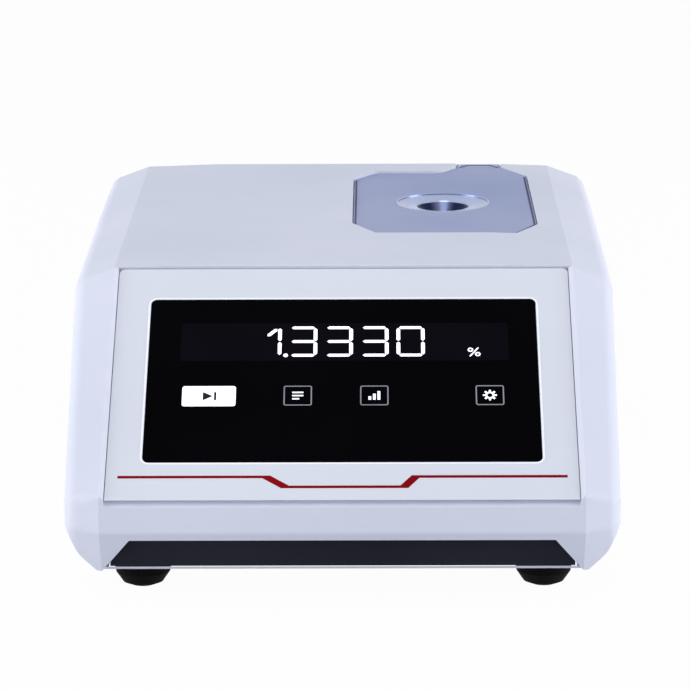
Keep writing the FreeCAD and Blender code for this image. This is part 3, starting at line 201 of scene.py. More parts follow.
def newGroup(name, inputs, outputs):
    group = bpy.data.node_groups.new(name, "ShaderNodeTree")
    for label, kind, value in inputs:
        socket = group.interface.new_socket(label, in_out="INPUT", socket_type=kind)
        socket.default_value = value
    for label, kind in outputs:
        group.interface.new_socket(label, in_out="OUTPUT", socket_type=kind)
    return group, group.nodes.new("NodeGroupInput"), group.nodes.new("NodeGroupOutput")


# the numbers of a Mix node's sockets for each kind of data: its two inputs and its result
mixSockets = {"FLOAT": (2, 3, 0), "RGBA": (6, 7, 2)}


def addMix(tree, kind, factor, first, second):
    a, b, result = mixSockets[kind]
    node = addNode(tree, "ShaderNodeMix", {"Factor": factor, a: first, b: second}, data_type=kind)
    return node.outputs[result]


grain = {"fineDetail": 3.0, "wideScale": 60.0, "wideDetail": 2.0, "wideShare": 0.3}


# fine spark-eroded texture of moulded plastic and paint, on a slower unevenness
def makeGrainGroup():
    group, start, end = newGroup(
        "mouldGrain", [("Scale", "NodeSocketFloat", 900.0)], [("Height", "NodeSocketFloat")])
    place = group.nodes.new("ShaderNodeTexCoord").outputs["Object"]
    fine = addNode(group, "ShaderNodeTexNoise", {
        "Vector": place, "Scale": start.outputs["Scale"], "Detail": grain["fineDetail"]})
    wide = addNode(group, "ShaderNodeTexNoise", {
        "Vector": place, "Scale": grain["wideScale"], "Detail": grain["wideDetail"]})
    height = addMix(group, "FLOAT", grain["wideShare"], fine.outputs["Fac"], wide.outputs["Fac"])
    feed(group, end, {"Height": height})
    return group


# how far an edge is lightened, as wear and as a painted highlight: where a rounded normal leaves
# the true one, broken up by the clouds
edgeLightening = {"radius": 0.5 * mm, "samples": 4, "leastMatch": 0.90, "mostMatch": 0.995}


def wornAndHighlitEdges(group, clouds, edgeWearAndHighlight):
    true = group.nodes.new("ShaderNodeNewGeometry")
    rounded = addNode(group, "ShaderNodeBevel", {"Radius": edgeLightening["radius"]},
                      samples=edgeLightening["samples"])
    match = addNode(group, "ShaderNodeVectorMath", {
        0: rounded.outputs["Normal"], 1: true.outputs["Normal"]}, operation="DOT_PRODUCT")
    edge = addNode(group, "ShaderNodeMapRange", {
        "Value": match.outputs["Value"],
        "From Min": edgeLightening["mostMatch"], "From Max": edgeLightening["leastMatch"]})
    patchy = addMath(group, "MULTIPLY", edge.outputs["Result"], clouds)
    return addMath(group, "MULTIPLY", patchy, edgeWearAndHighlight, clamped=True)


# slow cloudy drift between two near colours, as ageing and handling leave it, with tiny flecks,
# and edges a little lighter, partly as wear and partly as a painted highlight
def makeToneGroup():
    group, start, end = newGroup(
        "toneDrift",
        [("Light", "NodeSocketColor", (1, 1, 1, 1)), ("Dark", "NodeSocketColor", (1, 1, 1, 1)),
         ("Scale", "NodeSocketFloat", 12.0), ("Flecks", "NodeSocketFloat", 0.0),
         ("Roughness", "NodeSocketFloat", 0.5), ("HighlightAndWear", "NodeSocketFloat", 0.0),
         ("HighlitAndWornColor", "NodeSocketColor", (1, 1, 1, 1))],
        [("Color", "NodeSocketColor"), ("Roughness", "NodeSocketFloat")],
    )
    given = start.outputs
    place = group.nodes.new("ShaderNodeTexCoord").outputs["Object"]
    clouds = addNode(group, "ShaderNodeTexNoise", {
        "Vector": place, "Scale": given["Scale"], "Detail": 4.0, "Roughness": 0.55}).outputs["Fac"]
    spread = addNode(group, "ShaderNodeMapRange", {
        "Value": clouds, "From Min": 0.3, "From Max": 0.7}).outputs["Result"]
    dots = addNode(group, "ShaderNodeTexNoise", {"Vector": place, "Scale": 2600.0, "Detail": 1.0})
    peaks = addNode(group, "ShaderNodeMapRange", {
        "Value": dots.outputs["Fac"], "From Min": 0.56, "From Max": 0.70})
    flecks = addMath(group, "MULTIPLY", peaks.outputs["Result"], given["Flecks"])
    darkness = addMath(group, "ADD", spread, flecks, clamped=True)
    drifted = addMix(group, "RGBA", darkness, given["Light"], given["Dark"])
    lightenedEdge = wornAndHighlitEdges(group, clouds, given["HighlightAndWear"])
    share = addNode(group, "ShaderNodeMapRange", {"Value": spread, "To Min": 0.88, "To Max": 1.12})
    feed(group, end, {
        "Color": addMix(group, "RGBA", lightenedEdge, drifted, given["HighlitAndWornColor"]),
        "Roughness": addMath(group, "MULTIPLY", share.outputs["Result"], given["Roughness"],
                             clamped=True),
    })
    return group


# long fine lines, as a brush or a die leaves them in metal
def makeBrushedGroup():
    group, start, end = newGroup(
        "brushedLines", [("Stretch", "NodeSocketVector", (40.0, 1800.0, 1800.0))],
        [("Height", "NodeSocketFloat")])
    place = group.nodes.new("ShaderNodeTexCoord").outputs["Object"]
    pull = addNode(group, "ShaderNodeVectorMath", {0: place, 1: start.outputs["Stretch"]},
                   operation="MULTIPLY")
    lines = addNode(group, "ShaderNodeTexNoise", {
        "Vector": pull.outputs[0], "Scale": 1.0, "Detail": 3.0})
    feed(group, end, {"Height": lines.outputs["Fac"]})
    return group


# a turned funnel: rings that the lathe leaves, and below the shallow cone painted shade with a
# painted reflection, a lighter streak fore and aft and darkest at the sides
def makeLatheGroup():
    group, start, end = newGroup(
        "latheRingsAndReflection",
        [("Axis", "NodeSocketVector", (0.0, 0.0, 0.0)), ("Pitch", "NodeSocketFloat", 12000.0),
         ("Light", "NodeSocketColor", (1, 1, 1, 1)), ("DeepReflection", "NodeSocketColor", (1, 1, 1, 1)),
         ("Side", "NodeSocketColor", (1, 1, 1, 1)), ("Within", "NodeSocketFloat", 0.01)],
        [("Height", "NodeSocketFloat"), ("Color", "NodeSocketColor")],
    )
    given = start.outputs
    place = group.nodes.new("ShaderNodeTexCoord").outputs["Object"]
    shift = addNode(group, "ShaderNodeVectorMath", {0: place, 1: given["Axis"]},
                    operation="SUBTRACT")
    flat = addNode(group, "ShaderNodeVectorMath", {0: shift.outputs[0], 1: (1, 1, 0)},
                   operation="MULTIPLY").outputs[0]
    radius = addNode(group, "ShaderNodeVectorMath", {0: flat}, operation="LENGTH").outputs["Value"]
    rings = addMath(group, "SINE", addMath(group, "MULTIPLY", radius, given["Pitch"]))
    parts = addNode(group, "ShaderNodeSeparateXYZ", {0: flat})
    share = addMath(group, "DIVIDE", addMath(group, "ABSOLUTE", parts.outputs["X"]), radius)
    # painted reflection: 0 fore and aft, where the lighter streak is painted, and 1 at the sides,
    # painted darkest
    sides = addNode(group, "ShaderNodeMapRange", {
        "Value": share, "From Min": 0.1, "From Max": 0.55}, interpolation_type="SMOOTHSTEP")
    funnel = addMix(group, "RGBA", sides.outputs["Result"], given["DeepReflection"], given["Side"])
    below = addMath(group, "LESS_THAN", radius, given["Within"])
    feed(group, end, {
        "Height": rings, "Color": addMix(group, "RGBA", below, given["Light"], funnel)})
    return group


# a printed board: lacquer in two near greens, and the tracks between
def makeTrackGroup():
    group, start, end = newGroup(
        "boardTracks",
        [("Light", "NodeSocketColor", (0, 1, 0, 1)), ("Dark", "NodeSocketColor", (0, 1, 0, 1)),
         ("Track", "NodeSocketColor", (0, 1, 0, 1)), ("Scale", "NodeSocketFloat", 90.0)],
        [("Color", "NodeSocketColor")],
    )
    given = start.outputs
    place = group.nodes.new("ShaderNodeTexCoord").outputs["Object"]
    grid = addNode(group, "ShaderNodeTexBrick", {
        "Vector": place, "Color1": given["Light"], "Color2": given["Dark"],
        "Mortar": given["Track"], "Scale": given["Scale"],
        "Mortar Size": 0.05, "Brick Width": 0.9, "Row Height": 0.3})
    feed(group, end, {"Color": grid.outputs["Color"]})
    return group


grainGroup = makeGrainGroup()
toneGroup = makeToneGroup()
brushedGroup = makeBrushedGroup()
latheGroup = makeLatheGroup()
trackGroup = makeTrackGroup()


# what a look has unless it says otherwise
plainLook = {
    "metallic": 0.0, "specular": 0.5, "transmission": 0.0, "ior": 1.5,
    "flecks": 0.0, "edgeWearAndHighlight": 0.0, "toneScale": 12.0,
    "reliefDepth": 0.2 * mm, "grainScale": 900.0,
}


# a Principled material: drifting tone and roughness, with grain, brushing or turning as its bump
def makeMaterial(name, chosen):
    look = {**plainLook, "edgeWornAndHighlitColour": chosen["light"], **chosen}
    mat = bpy.data.materials.new(name)
    mat.use_nodes = True
    tree = mat.node_tree
    tone = addNode(tree, "ShaderNodeGroup", {
        "Light": look["light"], "Dark": look["dark"], "HighlitAndWornColor": look["edgeWornAndHighlitColour"], "HighlightAndWear": look["edgeWearAndHighlight"],
        "Scale": look["toneScale"], "Flecks": look["flecks"], "Roughness": look["roughness"],
    }, node_tree=toneGroup)
    colour = tone.outputs["Color"]
    if "stretch" in look:
        surface = addNode(tree, "ShaderNodeGroup", {"Stretch": look["stretch"]},
                          node_tree=brushedGroup)
    elif "axis" in look:
        surface = addNode(tree, "ShaderNodeGroup", {
            "Axis": look["axis"], "Pitch": look["pitch"], "Within": look["deepReflectionWithin"],
            "Light": look["light"], "DeepReflection": look["deepReflection"], "Side": look["side"],
        }, node_tree=latheGroup)
        colour = surface.outputs["Color"]
    else:
        surface = addNode(tree, "ShaderNodeGroup", {"Scale": look["grainScale"]},
                          node_tree=grainGroup)
    if "track" in look:
        tracks = addNode(tree, "ShaderNodeGroup", {
            "Light": look["light"], "Dark": look["dark"],
            "Track": look["track"], "Scale": look["trackScale"],
        }, node_tree=trackGroup)
        colour = tracks.outputs["Color"]
    bump = addNode(tree, "ShaderNodeBump", {
        "Strength": look["relief"], "Distance": look["reliefDepth"],
        "Height": surface.outputs["Height"],
    })
    shader = tree.nodes["Principled BSDF"]
    feed(tree, shader, {
        "Base Color": colour, "Roughness": tone.outputs["Roughness"],
        "Normal": bump.outputs["Normal"], "Metallic": look["metallic"], "IOR": look["ior"],
        "Specular IOR Level": look["specular"], "Transmission Weight": look["transmission"],
    })
    if "glow" in look:
        feed(tree, shader, {"Emission Color": colour, "Emission Strength": look["glow"]})
    return mat


def dress(names, mat):
    for name in names:
        mesh = nodes[name].data
        mesh.materials.clear()
        mesh.materials.append(mat)


# gives a second material to the faces whose middle, in mm, passes a test
def dressFaces(name, mat, chosen):
    mesh = nodes[name].data
    mesh.materials.append(mat)
    for face in mesh.polygons:
        if chosen(nodes[name].matrix_world @ face.center / mm):
            face.material_index = len(mesh.materials) - 1


# Plastics and paints of the outside

# each look's worn colour lightens its edges: wear, and on the housing and the plate also a painted
# highlight along the rounded edges
housingLook = {
    "light": srgb(230, 232, 243), "dark": srgb(225, 228, 240), "edgeWornAndHighlitColour": srgb(240, 241, 247),
    "roughness": 0.5, "specular": 0.1, "flecks": 0.25, "edgeWearAndHighlight": 0.6,
    "relief": 0.25, "reliefDepth": 0.1 * mm, "grainScale": 1400.0,
}
fasciaLook = {
    "light": srgb(233, 236, 243), "dark": srgb(229, 232, 240), "edgeWornAndHighlitColour": srgb(240, 242, 247),
    "roughness": 0.42, "specular": 0.3, "flecks": 0.15, "edgeWearAndHighlight": 0.5,
    "relief": 0.12, "reliefDepth": 0.1 * mm, "grainScale": 1800.0,
}
glassLook = {
    "light": (0.002, 0.002, 0.003, 1), "dark": (0.0012, 0.0012, 0.002, 1),
    "roughness": 0.10, "specular": 0.006,
    "relief": 0.0,
}
plateLook = {
    "light": srgb(167, 175, 208), "dark": srgb(157, 167, 202), "edgeWornAndHighlitColour": srgb(196, 203, 226),
    "roughness": 0.5, "specular": 0.12, "flecks": 0.35, "edgeWearAndHighlight": 0.6,
    "relief": 0.2, "grainScale": 1600.0,
}
baseLook = {
    "light": srgb(24, 27, 42), "dark": srgb(19, 22, 35), "edgeWornAndHighlitColour": srgb(58, 61, 78),
    "roughness": 0.6, "specular": 0.2, "flecks": 0.4, "edgeWearAndHighlight": 0.5,
    "relief": 0.5, "grainScale": 700.0,
}
rubberLook = {
    "light": srgb(15, 15, 18), "dark": srgb(10, 10, 13),
    "roughness": 0.75, "specular": 0.06,
    "relief": 0.35, "grainScale": 1100.0,
}
panelLook = {
    "light": srgb(178, 183, 202), "dark": srgb(170, 176, 196), "edgeWornAndHighlitColour": srgb(206, 210, 224),
    "roughness": 0.5, "flecks": 0.4, "edgeWearAndHighlight": 0.8,
    "relief": 0.35, "grainScale": 1000.0,
}
blackLook = {
    "light": srgb(26, 27, 30), "dark": srgb(20, 21, 24), "edgeWornAndHighlitColour": srgb(60, 61, 66),
    "roughness": 0.45, "edgeWearAndHighlight": 0.6,
    "relief": 0.3,
}
fanLook = {
    "light": srgb(30, 31, 34), "dark": srgb(23, 24, 27),
    "roughness": 0.36,
    "relief": 0.15, "grainScale": 1300.0,
}
switchLook = {
    "light": srgb(22, 22, 25), "dark": srgb(17, 17, 20), "edgeWornAndHighlitColour": srgb(48, 48, 52),
    "roughness": 0.30, "edgeWearAndHighlight": 0.5,
    "relief": 0.12, "grainScale": 1600.0,
}

# Metals, boards, rubber and crystal inside and at the rear

steelLook = {
    "light": (0.60, 0.61, 0.64, 1), "dark": (0.52, 0.53, 0.57, 1),
    "metallic": 1.0, "roughness": 0.26,
    "relief": 0.08, "stretch": (1800.0, 60.0, 1800.0),
}
shellLook = {
    "light": (0.66, 0.66, 0.67, 1), "dark": (0.58, 0.58, 0.60, 1),
    "metallic": 1.0, "roughness": 0.22,
    "relief": 0.06, "stretch": (60.0, 1500.0, 1500.0),
}
sinkLook = {
    "light": (0.46, 0.47, 0.49, 1), "dark": (0.40, 0.41, 0.43, 1),
    "metallic": 1.0, "roughness": 0.42,
    "relief": 0.15, "stretch": (1600.0, 30.0, 1600.0),
}
benchLook = {
    "light": srgb(44, 45, 48), "dark": srgb(34, 35, 38), "edgeWornAndHighlitColour": srgb(96, 97, 102),
    "metallic": 0.6, "roughness": 0.5, "flecks": 0.3, "edgeWearAndHighlight": 0.8,
    "relief": 0.2,
}
holderLook = {
    "light": (0.60, 0.45, 0.24, 1), "dark": (0.54, 0.39, 0.20, 1),
    "metallic": 1.0, "roughness": 0.34,
    "relief": 0.12, "stretch": (40.0, 1500.0, 1500.0),
}
brassLook = {
    "light": (0.66, 0.47, 0.20, 1), "dark": (0.60, 0.42, 0.17, 1),
    "metallic": 1.0, "roughness": 0.3,
    "relief": 0.1, "stretch": (900.0, 900.0, 3000.0),
}
goldLook = {
    "light": (0.83, 0.60, 0.22, 1), "dark": (0.78, 0.54, 0.18, 1),
    "metallic": 1.0, "roughness": 0.22,
    "relief": 0.05, "grainScale": 3000.0,
}
boardLook = {
    "light": srgb(18, 88, 50), "dark": srgb(14, 74, 42), "track": srgb(40, 118, 70),
    "roughness": 0.38,
    "relief": 0.1, "trackScale": 110.0,
}
chipLook = {
    "light": srgb(34, 34, 36), "dark": srgb(27, 27, 29),
    "roughness": 0.62, "flecks": 0.4,
    "relief": 0.3, "grainScale": 2200.0,
}
ceramicLook = {
    "light": srgb(236, 236, 230), "dark": srgb(226, 226, 220),
    "roughness": 0.6, "flecks": 0.3,
    "relief": 0.15, "grainScale": 1500.0,
}
lensLook = {
    "light": (0.96, 0.97, 1.0, 1), "dark": (0.93, 0.95, 0.99, 1),
    "roughness": 0.03, "transmission": 1.0, "ior": 1.52,
    "relief": 0.0,
}
filterLook = {
    "light": (0.90, 0.62, 0.20, 1), "dark": (0.84, 0.56, 0.16, 1),
    "roughness": 0.04, "transmission": 0.9, "ior": 1.5,
    "relief": 0.0,
}
screenLook = {
    "light": (0.50, 0.51, 0.53, 1), "dark": (0.44, 0.45, 0.47, 1),
    "metallic": 1.0, "roughness": 0.38,
    "relief": 0.1, "stretch": (40.0, 1400.0, 1400.0),
}
prismLook = {
    "light": (0.52, 0.60, 0.82, 1), "dark": (0.46, 0.54, 0.76, 1),
    "roughness": 0.08, "transmission": 0.25, "ior": 1.76,
    "relief": 0.0,
}

# the dish is turned about the middle of its own box; below its shallow cone its colour is painted
# shade with a painted reflection, darkest at the sides
dishMiddle = (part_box("sample_dish")[0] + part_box("sample_dish")[1]) / 2
dishLook = {
    "light": (0.31, 0.37, 0.58, 1), "dark": (0.30, 0.36, 0.55, 1), "deepReflection": (0.12, 0.145, 0.26, 1),
    # side is the painted reflection's darkest tone, where the cone faces sideways
    "side": (0.012, 0.018, 0.05, 1),
    "metallic": 1.0, "roughness": 0.26,
    "relief": 0.04, "axis": tuple(dishMiddle), "pitch": 12000.0, "deepReflectionWithin": 11.5 * mm,
}

steel = makeMaterial("screwSteel", steelLook)
shell = makeMaterial("tinnedShell", shellLook)
rubber = makeMaterial("softRubber", rubberLook)
black = makeMaterial("socketPlastic", blackLook)
gold = makeMaterial("contactGold", goldLook)
dress(["housing"], makeMaterial("housingPlastic", housingLook))
dress(["front_fascia"], makeMaterial("fasciaPlastic", fasciaLook))
dress(["touch_glass"], makeMaterial("coverGlass", glassLook))
dress(["measuring_plate", "cover_socket"], makeMaterial("plateEnamel", plateLook))
dress(["sample_dish"], makeMaterial("turnedDishSteel", dishLook))
dress(["measuring_prism"], makeMaterial("prismCrystal", prismLook))
dress(["serial_connector", "usb_sockets", "serial_jackscrews"], shell)
dress(["temperature_sensor", "display_screws", "plate_screws", "holder_screws", "tray_screws",
       "foot_screws", "foot_nuts", "board_screws", "panel_screws", "fan_screws"], steel)
dress(["screen_module"], makeMaterial("screenCan", screenLook))
dress(["heat_sink", "heat_spreader"], makeMaterial("drawnAluminium", sinkLook))
dress(["optical_bench", "source_tube", "sensor_tube", "prism_clamp"],
      makeMaterial("blackAnodised", benchLook))
dress(["base_tray"], makeMaterial("basePaint", baseLook))
dress(["feet", "dish_gasket", "prism_seal"], rubber)
dress(["rear_panel"], makeMaterial("panelPaint", panelLook))
dress(["ethernet_socket", "round_socket", "power_inlet"], black)
dress(["power_switch", "switch_rocker"], makeMaterial("switchPlastic", switchLook))
dress(["fan_frame", "fan_rotor"], makeMaterial("fanPlastic", fanLook))
dress(["processor", "board_chips"], makeMaterial("chipMould", chipLook))
dress(["main_board", "display_board", "led_board", "line_sensor_board"],
      makeMaterial("boardGreen", boardLook))
dress(["board_standoffs"], makeMaterial("standoffBrass", brassLook))
dress(["prism_holder"], makeMaterial("holderBrass", holderLook))
dress(["peltier_modules"], makeMaterial("paleCeramic", ceramicLook))
dress(["collimator_lens", "imaging_lens"], makeMaterial("lensGlass", lensLook))
dress(["interference_filter"], makeMaterial("filterGlass", filterLook))
print("CAD nodes dressed")


# Thin pieces: each starts as a flat face in its own plane and is raised a little

slope = {"origin": (0, -165.0, 42.85), "angle": 36}
plate = {"origin": (43.527, 70.2, 124.396), "angle": 3}
pointShare = 0.49  # of a stroke's width, so that its corners almost meet in a point


# the frame of a face that rises towards the rear
def risingFrame(face):
    rise = math.radians(face["angle"])
    return frameAt(face["origin"], (1, 0, 0), (0, math.cos(rise), math.sin(rise)))


slopeFrame = risingFrame(slope)
plateFrame = risingFrame(plate)


def moved(x, y, turn=0.0):
    return Matrix.Translation((x * mm, y * mm, 0)) @ Matrix.Rotation(turn, 4, "Z")


# lifts what an extrusion has made
def liftGrown(part, grown, height):
    top = [v for v in grown["geom"] if isinstance(v, bmesh.types.BMVert)]
    bmesh.ops.translate(part, vec=(0, 0, height * mm), verts=top)


# puts a part in its place and adds it to the piece
def joinInto(bm, part, place, slot):
    bmesh.ops.transform(part, matrix=place, verts=part.verts)
    bmesh.ops.recalc_face_normals(part, faces=part.faces)
    for face in part.faces:
        face.material_index = slot
    mesh = bpy.data.meshes.new("part")
    part.to_mesh(mesh)
    part.free()
    bm.from_mesh(mesh)
    bpy.data.meshes.remove(mesh)


# raises whatever is flat in part from low to high
def raiseInto(bm, part, place, heights, slot):
    low, high = heights
    grown = bmesh.ops.extrude_face_region(part, geom=part.faces[:])
    liftGrown(part, grown, high - low)
    bmesh.ops.translate(part, vec=(0, 0, low * mm), verts=part.verts)
    joinInto(bm, part, place, slot)


# leaves only a rim of the flat face
def hollowOut(part, rim):
    middle = part.faces[:]
    bmesh.ops.inset_region(part, faces=middle, thickness=rim * mm, use_even_offset=True,
                           use_boundary=True)
    bmesh.ops.delete(part, geom=middle, context="FACES_ONLY")


def addPlate(bm, corners, place, heights, rounding=0.0, rim=0.0, slot=0, segments=4):
    part = bmesh.new()
    part.faces.new([part.verts.new((x * mm, y * mm, 0)) for x, y in corners])
    if rounding:
        bmesh.ops.bevel(part, geom=part.verts[:], offset=rounding * mm, offset_type="OFFSET",
                        affect="VERTICES", segments=segments, profile=0.5, material=-1)
    if rim:
        hollowOut(part, rim)
    raiseInto(bm, part, place, heights, slot)


def addBox(bm, x, y, place, heights, **options):
    corners = ((x[0], y[0]), (x[1], y[0]), (x[1], y[1]), (x[0], y[1]))
    addPlate(bm, corners, place, heights, **options)


def addDisc(bm, x, y, radius, place, heights, rim=0.0, slot=0, segments=20):
    part = bmesh.new()
    bmesh.ops.create_circle(part, cap_ends=True, segments=segments, radius=radius * mm)
    bmesh.ops.translate(part, vec=(x * mm, y * mm, 0), verts=part.verts)
    if rim:
        hollowOut(part, rim)
    raiseInto(bm, part, place, heights, slot)


# a stroke from one point to another, with its ends square or cut to a point
def addStroke(bm, a, b, width, place, heights, pointed=False, slot=0):
    along = Vector(b) - Vector(a)
    middle = (Vector(a) + Vector(b)) / 2
    half = along.length / 2
    turn = moved(middle.x, middle.y, math.atan2(along.y, along.x))
    cut = {"rounding": width * pointShare, "segments": 1} if pointed else {}
    addBox(bm, (-half, half), (-width / 2, width / 2), place @ turn, heights, slot=slot, **cut)


# a strip of one width along a line of points, its corners mitred
def addStrip(bm, points, width, place, heights, slot=0):
    low, high = heights
    part = bmesh.new()
    line = [part.verts.new((x * mm, y * mm, low * mm)) for x, y in points]
    edges = [part.edges.new(pair) for pair in zip(line, line[1:])]
    grown = bmesh.ops.extrude_edge_only(part, edges=edges)
    liftGrown(part, grown, high - low)
    bmesh.ops.recalc_face_normals(part, faces=part.faces)
    bmesh.ops.solidify(part, geom=part.faces[:], thickness=width * mm)
    joinInto(bm, part, place, slot)


def finishPiece(name, bm, mats, body="root"):
    mesh = bpy.data.meshes.new(name)
    bm.to_mesh(mesh)
    bm.free()
    for mat in mats:
        mesh.materials.append(mat)
    piece = bpy.data.objects.new(name, mesh)
    bpy.context.scene.collection.objects.link(piece)
    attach(piece, body)


# Screen: what the display shows under the cover glass, as a skin on it in three thin layers

screen = {"skin": (0.004, 0.010), "lit": (0.012, 0.030), "over": (0.032, 0.040)}
band = {"x": (-65.5, 66.7), "y": (73.6, 94.4), "rounding": 1.0}


def makeBand(mat):
    bm = bmesh.new()
    addBox(bm, band["x"], band["y"], slopeFrame, screen["skin"], rounding=band["rounding"])
    finishPiece("screenBand", bm, [mat])


reading = {
    "digits": "13330", "ends": (-24.8, -10.4, 4.0, 18.4, 33.0),  # right edge of each digit
    "width": 11.4, "y": (75.9, 92.6), "stroke": 1.5, "gap": 0.25,
    "flagReach": 5.0, "flagDrop": 4.6, "flagTip": (1.125, 0.6),
    "pointX": -23.1, "pointRadius": 1.0,
}

# the strokes of each digit that the reading needs, between the corners and middles of its cell
strokesOf = {
    "0": ((0, 2, 1, 2), (1, 2, 1, 1), (1, 1, 1, 0), (1, 0, 0, 0), (0, 0, 0, 1), (0, 1, 0, 2)),
    "1": ((1, 2, 1, 1), (1, 1, 1, 0)),
    "3": ((0, 2, 1, 2), (1, 2, 1, 1), (1, 1, 1, 0), (1, 0, 0, 0), (0, 1, 1, 1)),
}


def makeReading(mat):
    bm = bmesh.new()
    width = reading["stroke"]
    low, high = reading["y"]
    ys = (low + width / 2, (low + high) / 2, high - width / 2)
    for digit, end in zip(reading["digits"], reading["ends"]):
        xs = (end - reading["width"] + width / 2, end - width / 2)
        for ax, ay, bx, by in strokesOf[digit]:
            a, b = Vector((xs[ax], ys[ay])), Vector((xs[bx], ys[by]))
            gap = (b - a).normalized() * reading["gap"]
            addStroke(bm, a + gap, b - gap, width, slopeFrame, screen["lit"], pointed=True)
        if digit == "1":
            root = (xs[1] - reading["flagReach"], ys[2] - reading["flagDrop"])
            tip = (xs[1] - reading["flagTip"][0], ys[2] - reading["flagTip"][1])
            addStroke(bm, root, tip, width, slopeFrame, screen["lit"], pointed=True)
    addDisc(bm, reading["pointX"], ys[0], reading["pointRadius"], slopeFrame, screen["lit"],
            segments=12)
    finishPiece("screenReading", bm, [mat])


unitMark = {"x": (50.2, 55.4), "y": (75.9, 80.6), "ring": 1.15, "line": 0.6, "lineInset": 0.9}


# a small per cent sign beside the reading
def makeUnitMark(mat):
    bm = bmesh.new()
    x, y = unitMark["x"], unitMark["y"]
    r, inset = unitMark["ring"], unitMark["lineInset"]
    for place in ((x[0] + r, y[1] - r), (x[1] - r, y[0] + r)):
        addDisc(bm, *place, r, slopeFrame, screen["lit"], rim=r / 2, segments=14)
    addStroke(bm, (x[0] + inset, y[0]), (x[1] - inset, y[1]), unitMark["line"], slopeFrame,
              screen["lit"])
    finishPiece("screenUnitMark", bm, [mat])


# a lit button with a dark mark on it: a triangle against a bar
startButton = {
    "x": (-64.0, -42.6), "y": (49.1, 59.9), "rounding": 1.1,
    "markBack": 2.4, "markTip": 1.6, "markHalf": 2.3,
    "barPlace": 2.5, "barHalf": 2.2, "barWidth": 0.9,
}


def makeStartButton(fill, dark):
    bm = bmesh.new()
    addBox(bm, startButton["x"], startButton["y"], slopeFrame, screen["lit"],
           rounding=startButton["rounding"])
    x, y = sum(startButton["x"]) / 2, sum(startButton["y"]) / 2
    back, half = x - startButton["markBack"], startButton["markHalf"]
    addPlate(bm, ((back, y - half), (x + startButton["markTip"], y), (back, y + half)), slopeFrame,
             screen["over"], slot=1)
    bar, half = x + startButton["barPlace"], startButton["barHalf"]
    addStroke(bm, (bar, y - half), (bar, y + half), startButton["barWidth"], slopeFrame,
              screen["over"], slot=1)
    finishPiece("screenStartButton", bm, [fill, dark])


textLines = {"lengths": (4.4, 4.4, 2.8), "start": 2.2, "step": 1.7, "width": 0.7}


def drawLines(bm, x, y):
    start = x - textLines["start"]
    for i, length in enumerate(textLines["lengths"]):
        row = y + (1 - i) * textLines["step"]
        addStroke(bm, (start, row), (start + length, row), textLines["width"], slopeFrame,
                  screen["lit"], slot=1)


columns = {"heights": (1.8, 3.2, 4.6), "foot": 2.3, "step": 1.8, "width": 1.1}


def drawColumns(bm, x, y):
    foot = y - columns["foot"]
    for i, height in enumerate(columns["heights"]):
        column = x + (i - 1) * columns["step"]
        addStroke(bm, (column, foot), (column, foot + height), columns["width"], slopeFrame,
                  screen["lit"], slot=1)


cog = {"radius": 1.9, "rim": 0.8, "teeth": 8, "toothFrom": 1.95, "toothTo": 2.8, "toothWidth": 0.8}


def drawCog(bm, x, y):
    addDisc(bm, x, y, cog["radius"], slopeFrame, screen["lit"], rim=cog["rim"], slot=1,
            segments=18)
    for i in range(cog["teeth"]):
        tooth = slopeFrame @ moved(x, y, math.radians(360 / cog["teeth"] * i))
        addStroke(bm, (cog["toothFrom"], 0), (cog["toothTo"], 0), cog["toothWidth"], tooth,
                  screen["lit"], slot=1)


iconBoxes = {"x": (-17.9, 12.6, 58.6), "y": (49.4, 60.0), "width": 11.3, "line": 0.5,
             "rounding": 0.9}


def makeIconBoxes(line, bright):
    half = iconBoxes["width"] / 2
    middle = sum(iconBoxes["y"]) / 2
    for i, (x, draw) in enumerate(zip(iconBoxes["x"], (drawLines, drawColumns, drawCog))):
        bm = bmesh.new()
        addBox(bm, (x - half, x + half), iconBoxes["y"], slopeFrame, screen["lit"],
               rounding=iconBoxes["rounding"], rim=iconBoxes["line"])
        draw(bm, x, middle)
        finishPiece(f"screenIcon{i + 1}", bm, [line, bright])


litLook = {
    "light": srgb(250, 250, 255), "dark": srgb(240, 242, 250),
    "roughness": 0.4, "specular": 0.05, "toneScale": 90.0, "glow": 0.85,
    "relief": 0.0,
}
lineLook = {
    "light": srgb(124, 126, 134), "dark": srgb(112, 114, 122),
    "roughness": 0.4, "specular": 0.05, "toneScale": 90.0, "glow": 0.65,
    "relief": 0.0,
}
bandLook = {
    "light": srgb(14, 14, 20), "dark": srgb(11, 11, 17),
    "roughness": 0.2, "specular": 0.006, "toneScale": 30.0,
    "relief": 0.0,
}
inkLook = {
    "light": srgb(30, 31, 36), "dark": srgb(24, 25, 30),
    "roughness": 0.5, "specular": 0.1,
    "relief": 0.0,
}
lit = makeMaterial("screenLit", litLook)
ink = makeMaterial("darkInk", inkLook)
makeBand(makeMaterial("screenBandDark", bandLook))
makeReading(lit)
makeUnitMark(lit)
makeStartButton(lit, ink)
makeIconBoxes(makeMaterial("screenLine", lineLook), lit)
print("screen lit")


# Fascia: a painted highlight as a thin glowing white ring round the cover glass, and the painted
# stripe under it

glassHighlight = {
    "glassX": 78.3, "glassY": (19.5, 107.8), "glassRounding": 2.6,
    "gap": 0.35, "width": 0.7, "heights": (0.0, 0.12),
}


# painted highlight: a thin white ring that glows a little, standing for the glass edge catching
# the light
def makeGlassHighlight(mat):
    bm = bmesh.new()
    far = glassHighlight["gap"] + glassHighlight["width"]
    x, y = glassHighlight["glassX"] + far, glassHighlight["glassY"]
    addBox(bm, (-x, x), (y[0] - far, y[1] + far), slopeFrame, glassHighlight["heights"],
           rounding=glassHighlight["glassRounding"] + far, rim=glassHighlight["width"], segments=6)
    finishPiece("glassEdgeHighlight", bm, [mat])


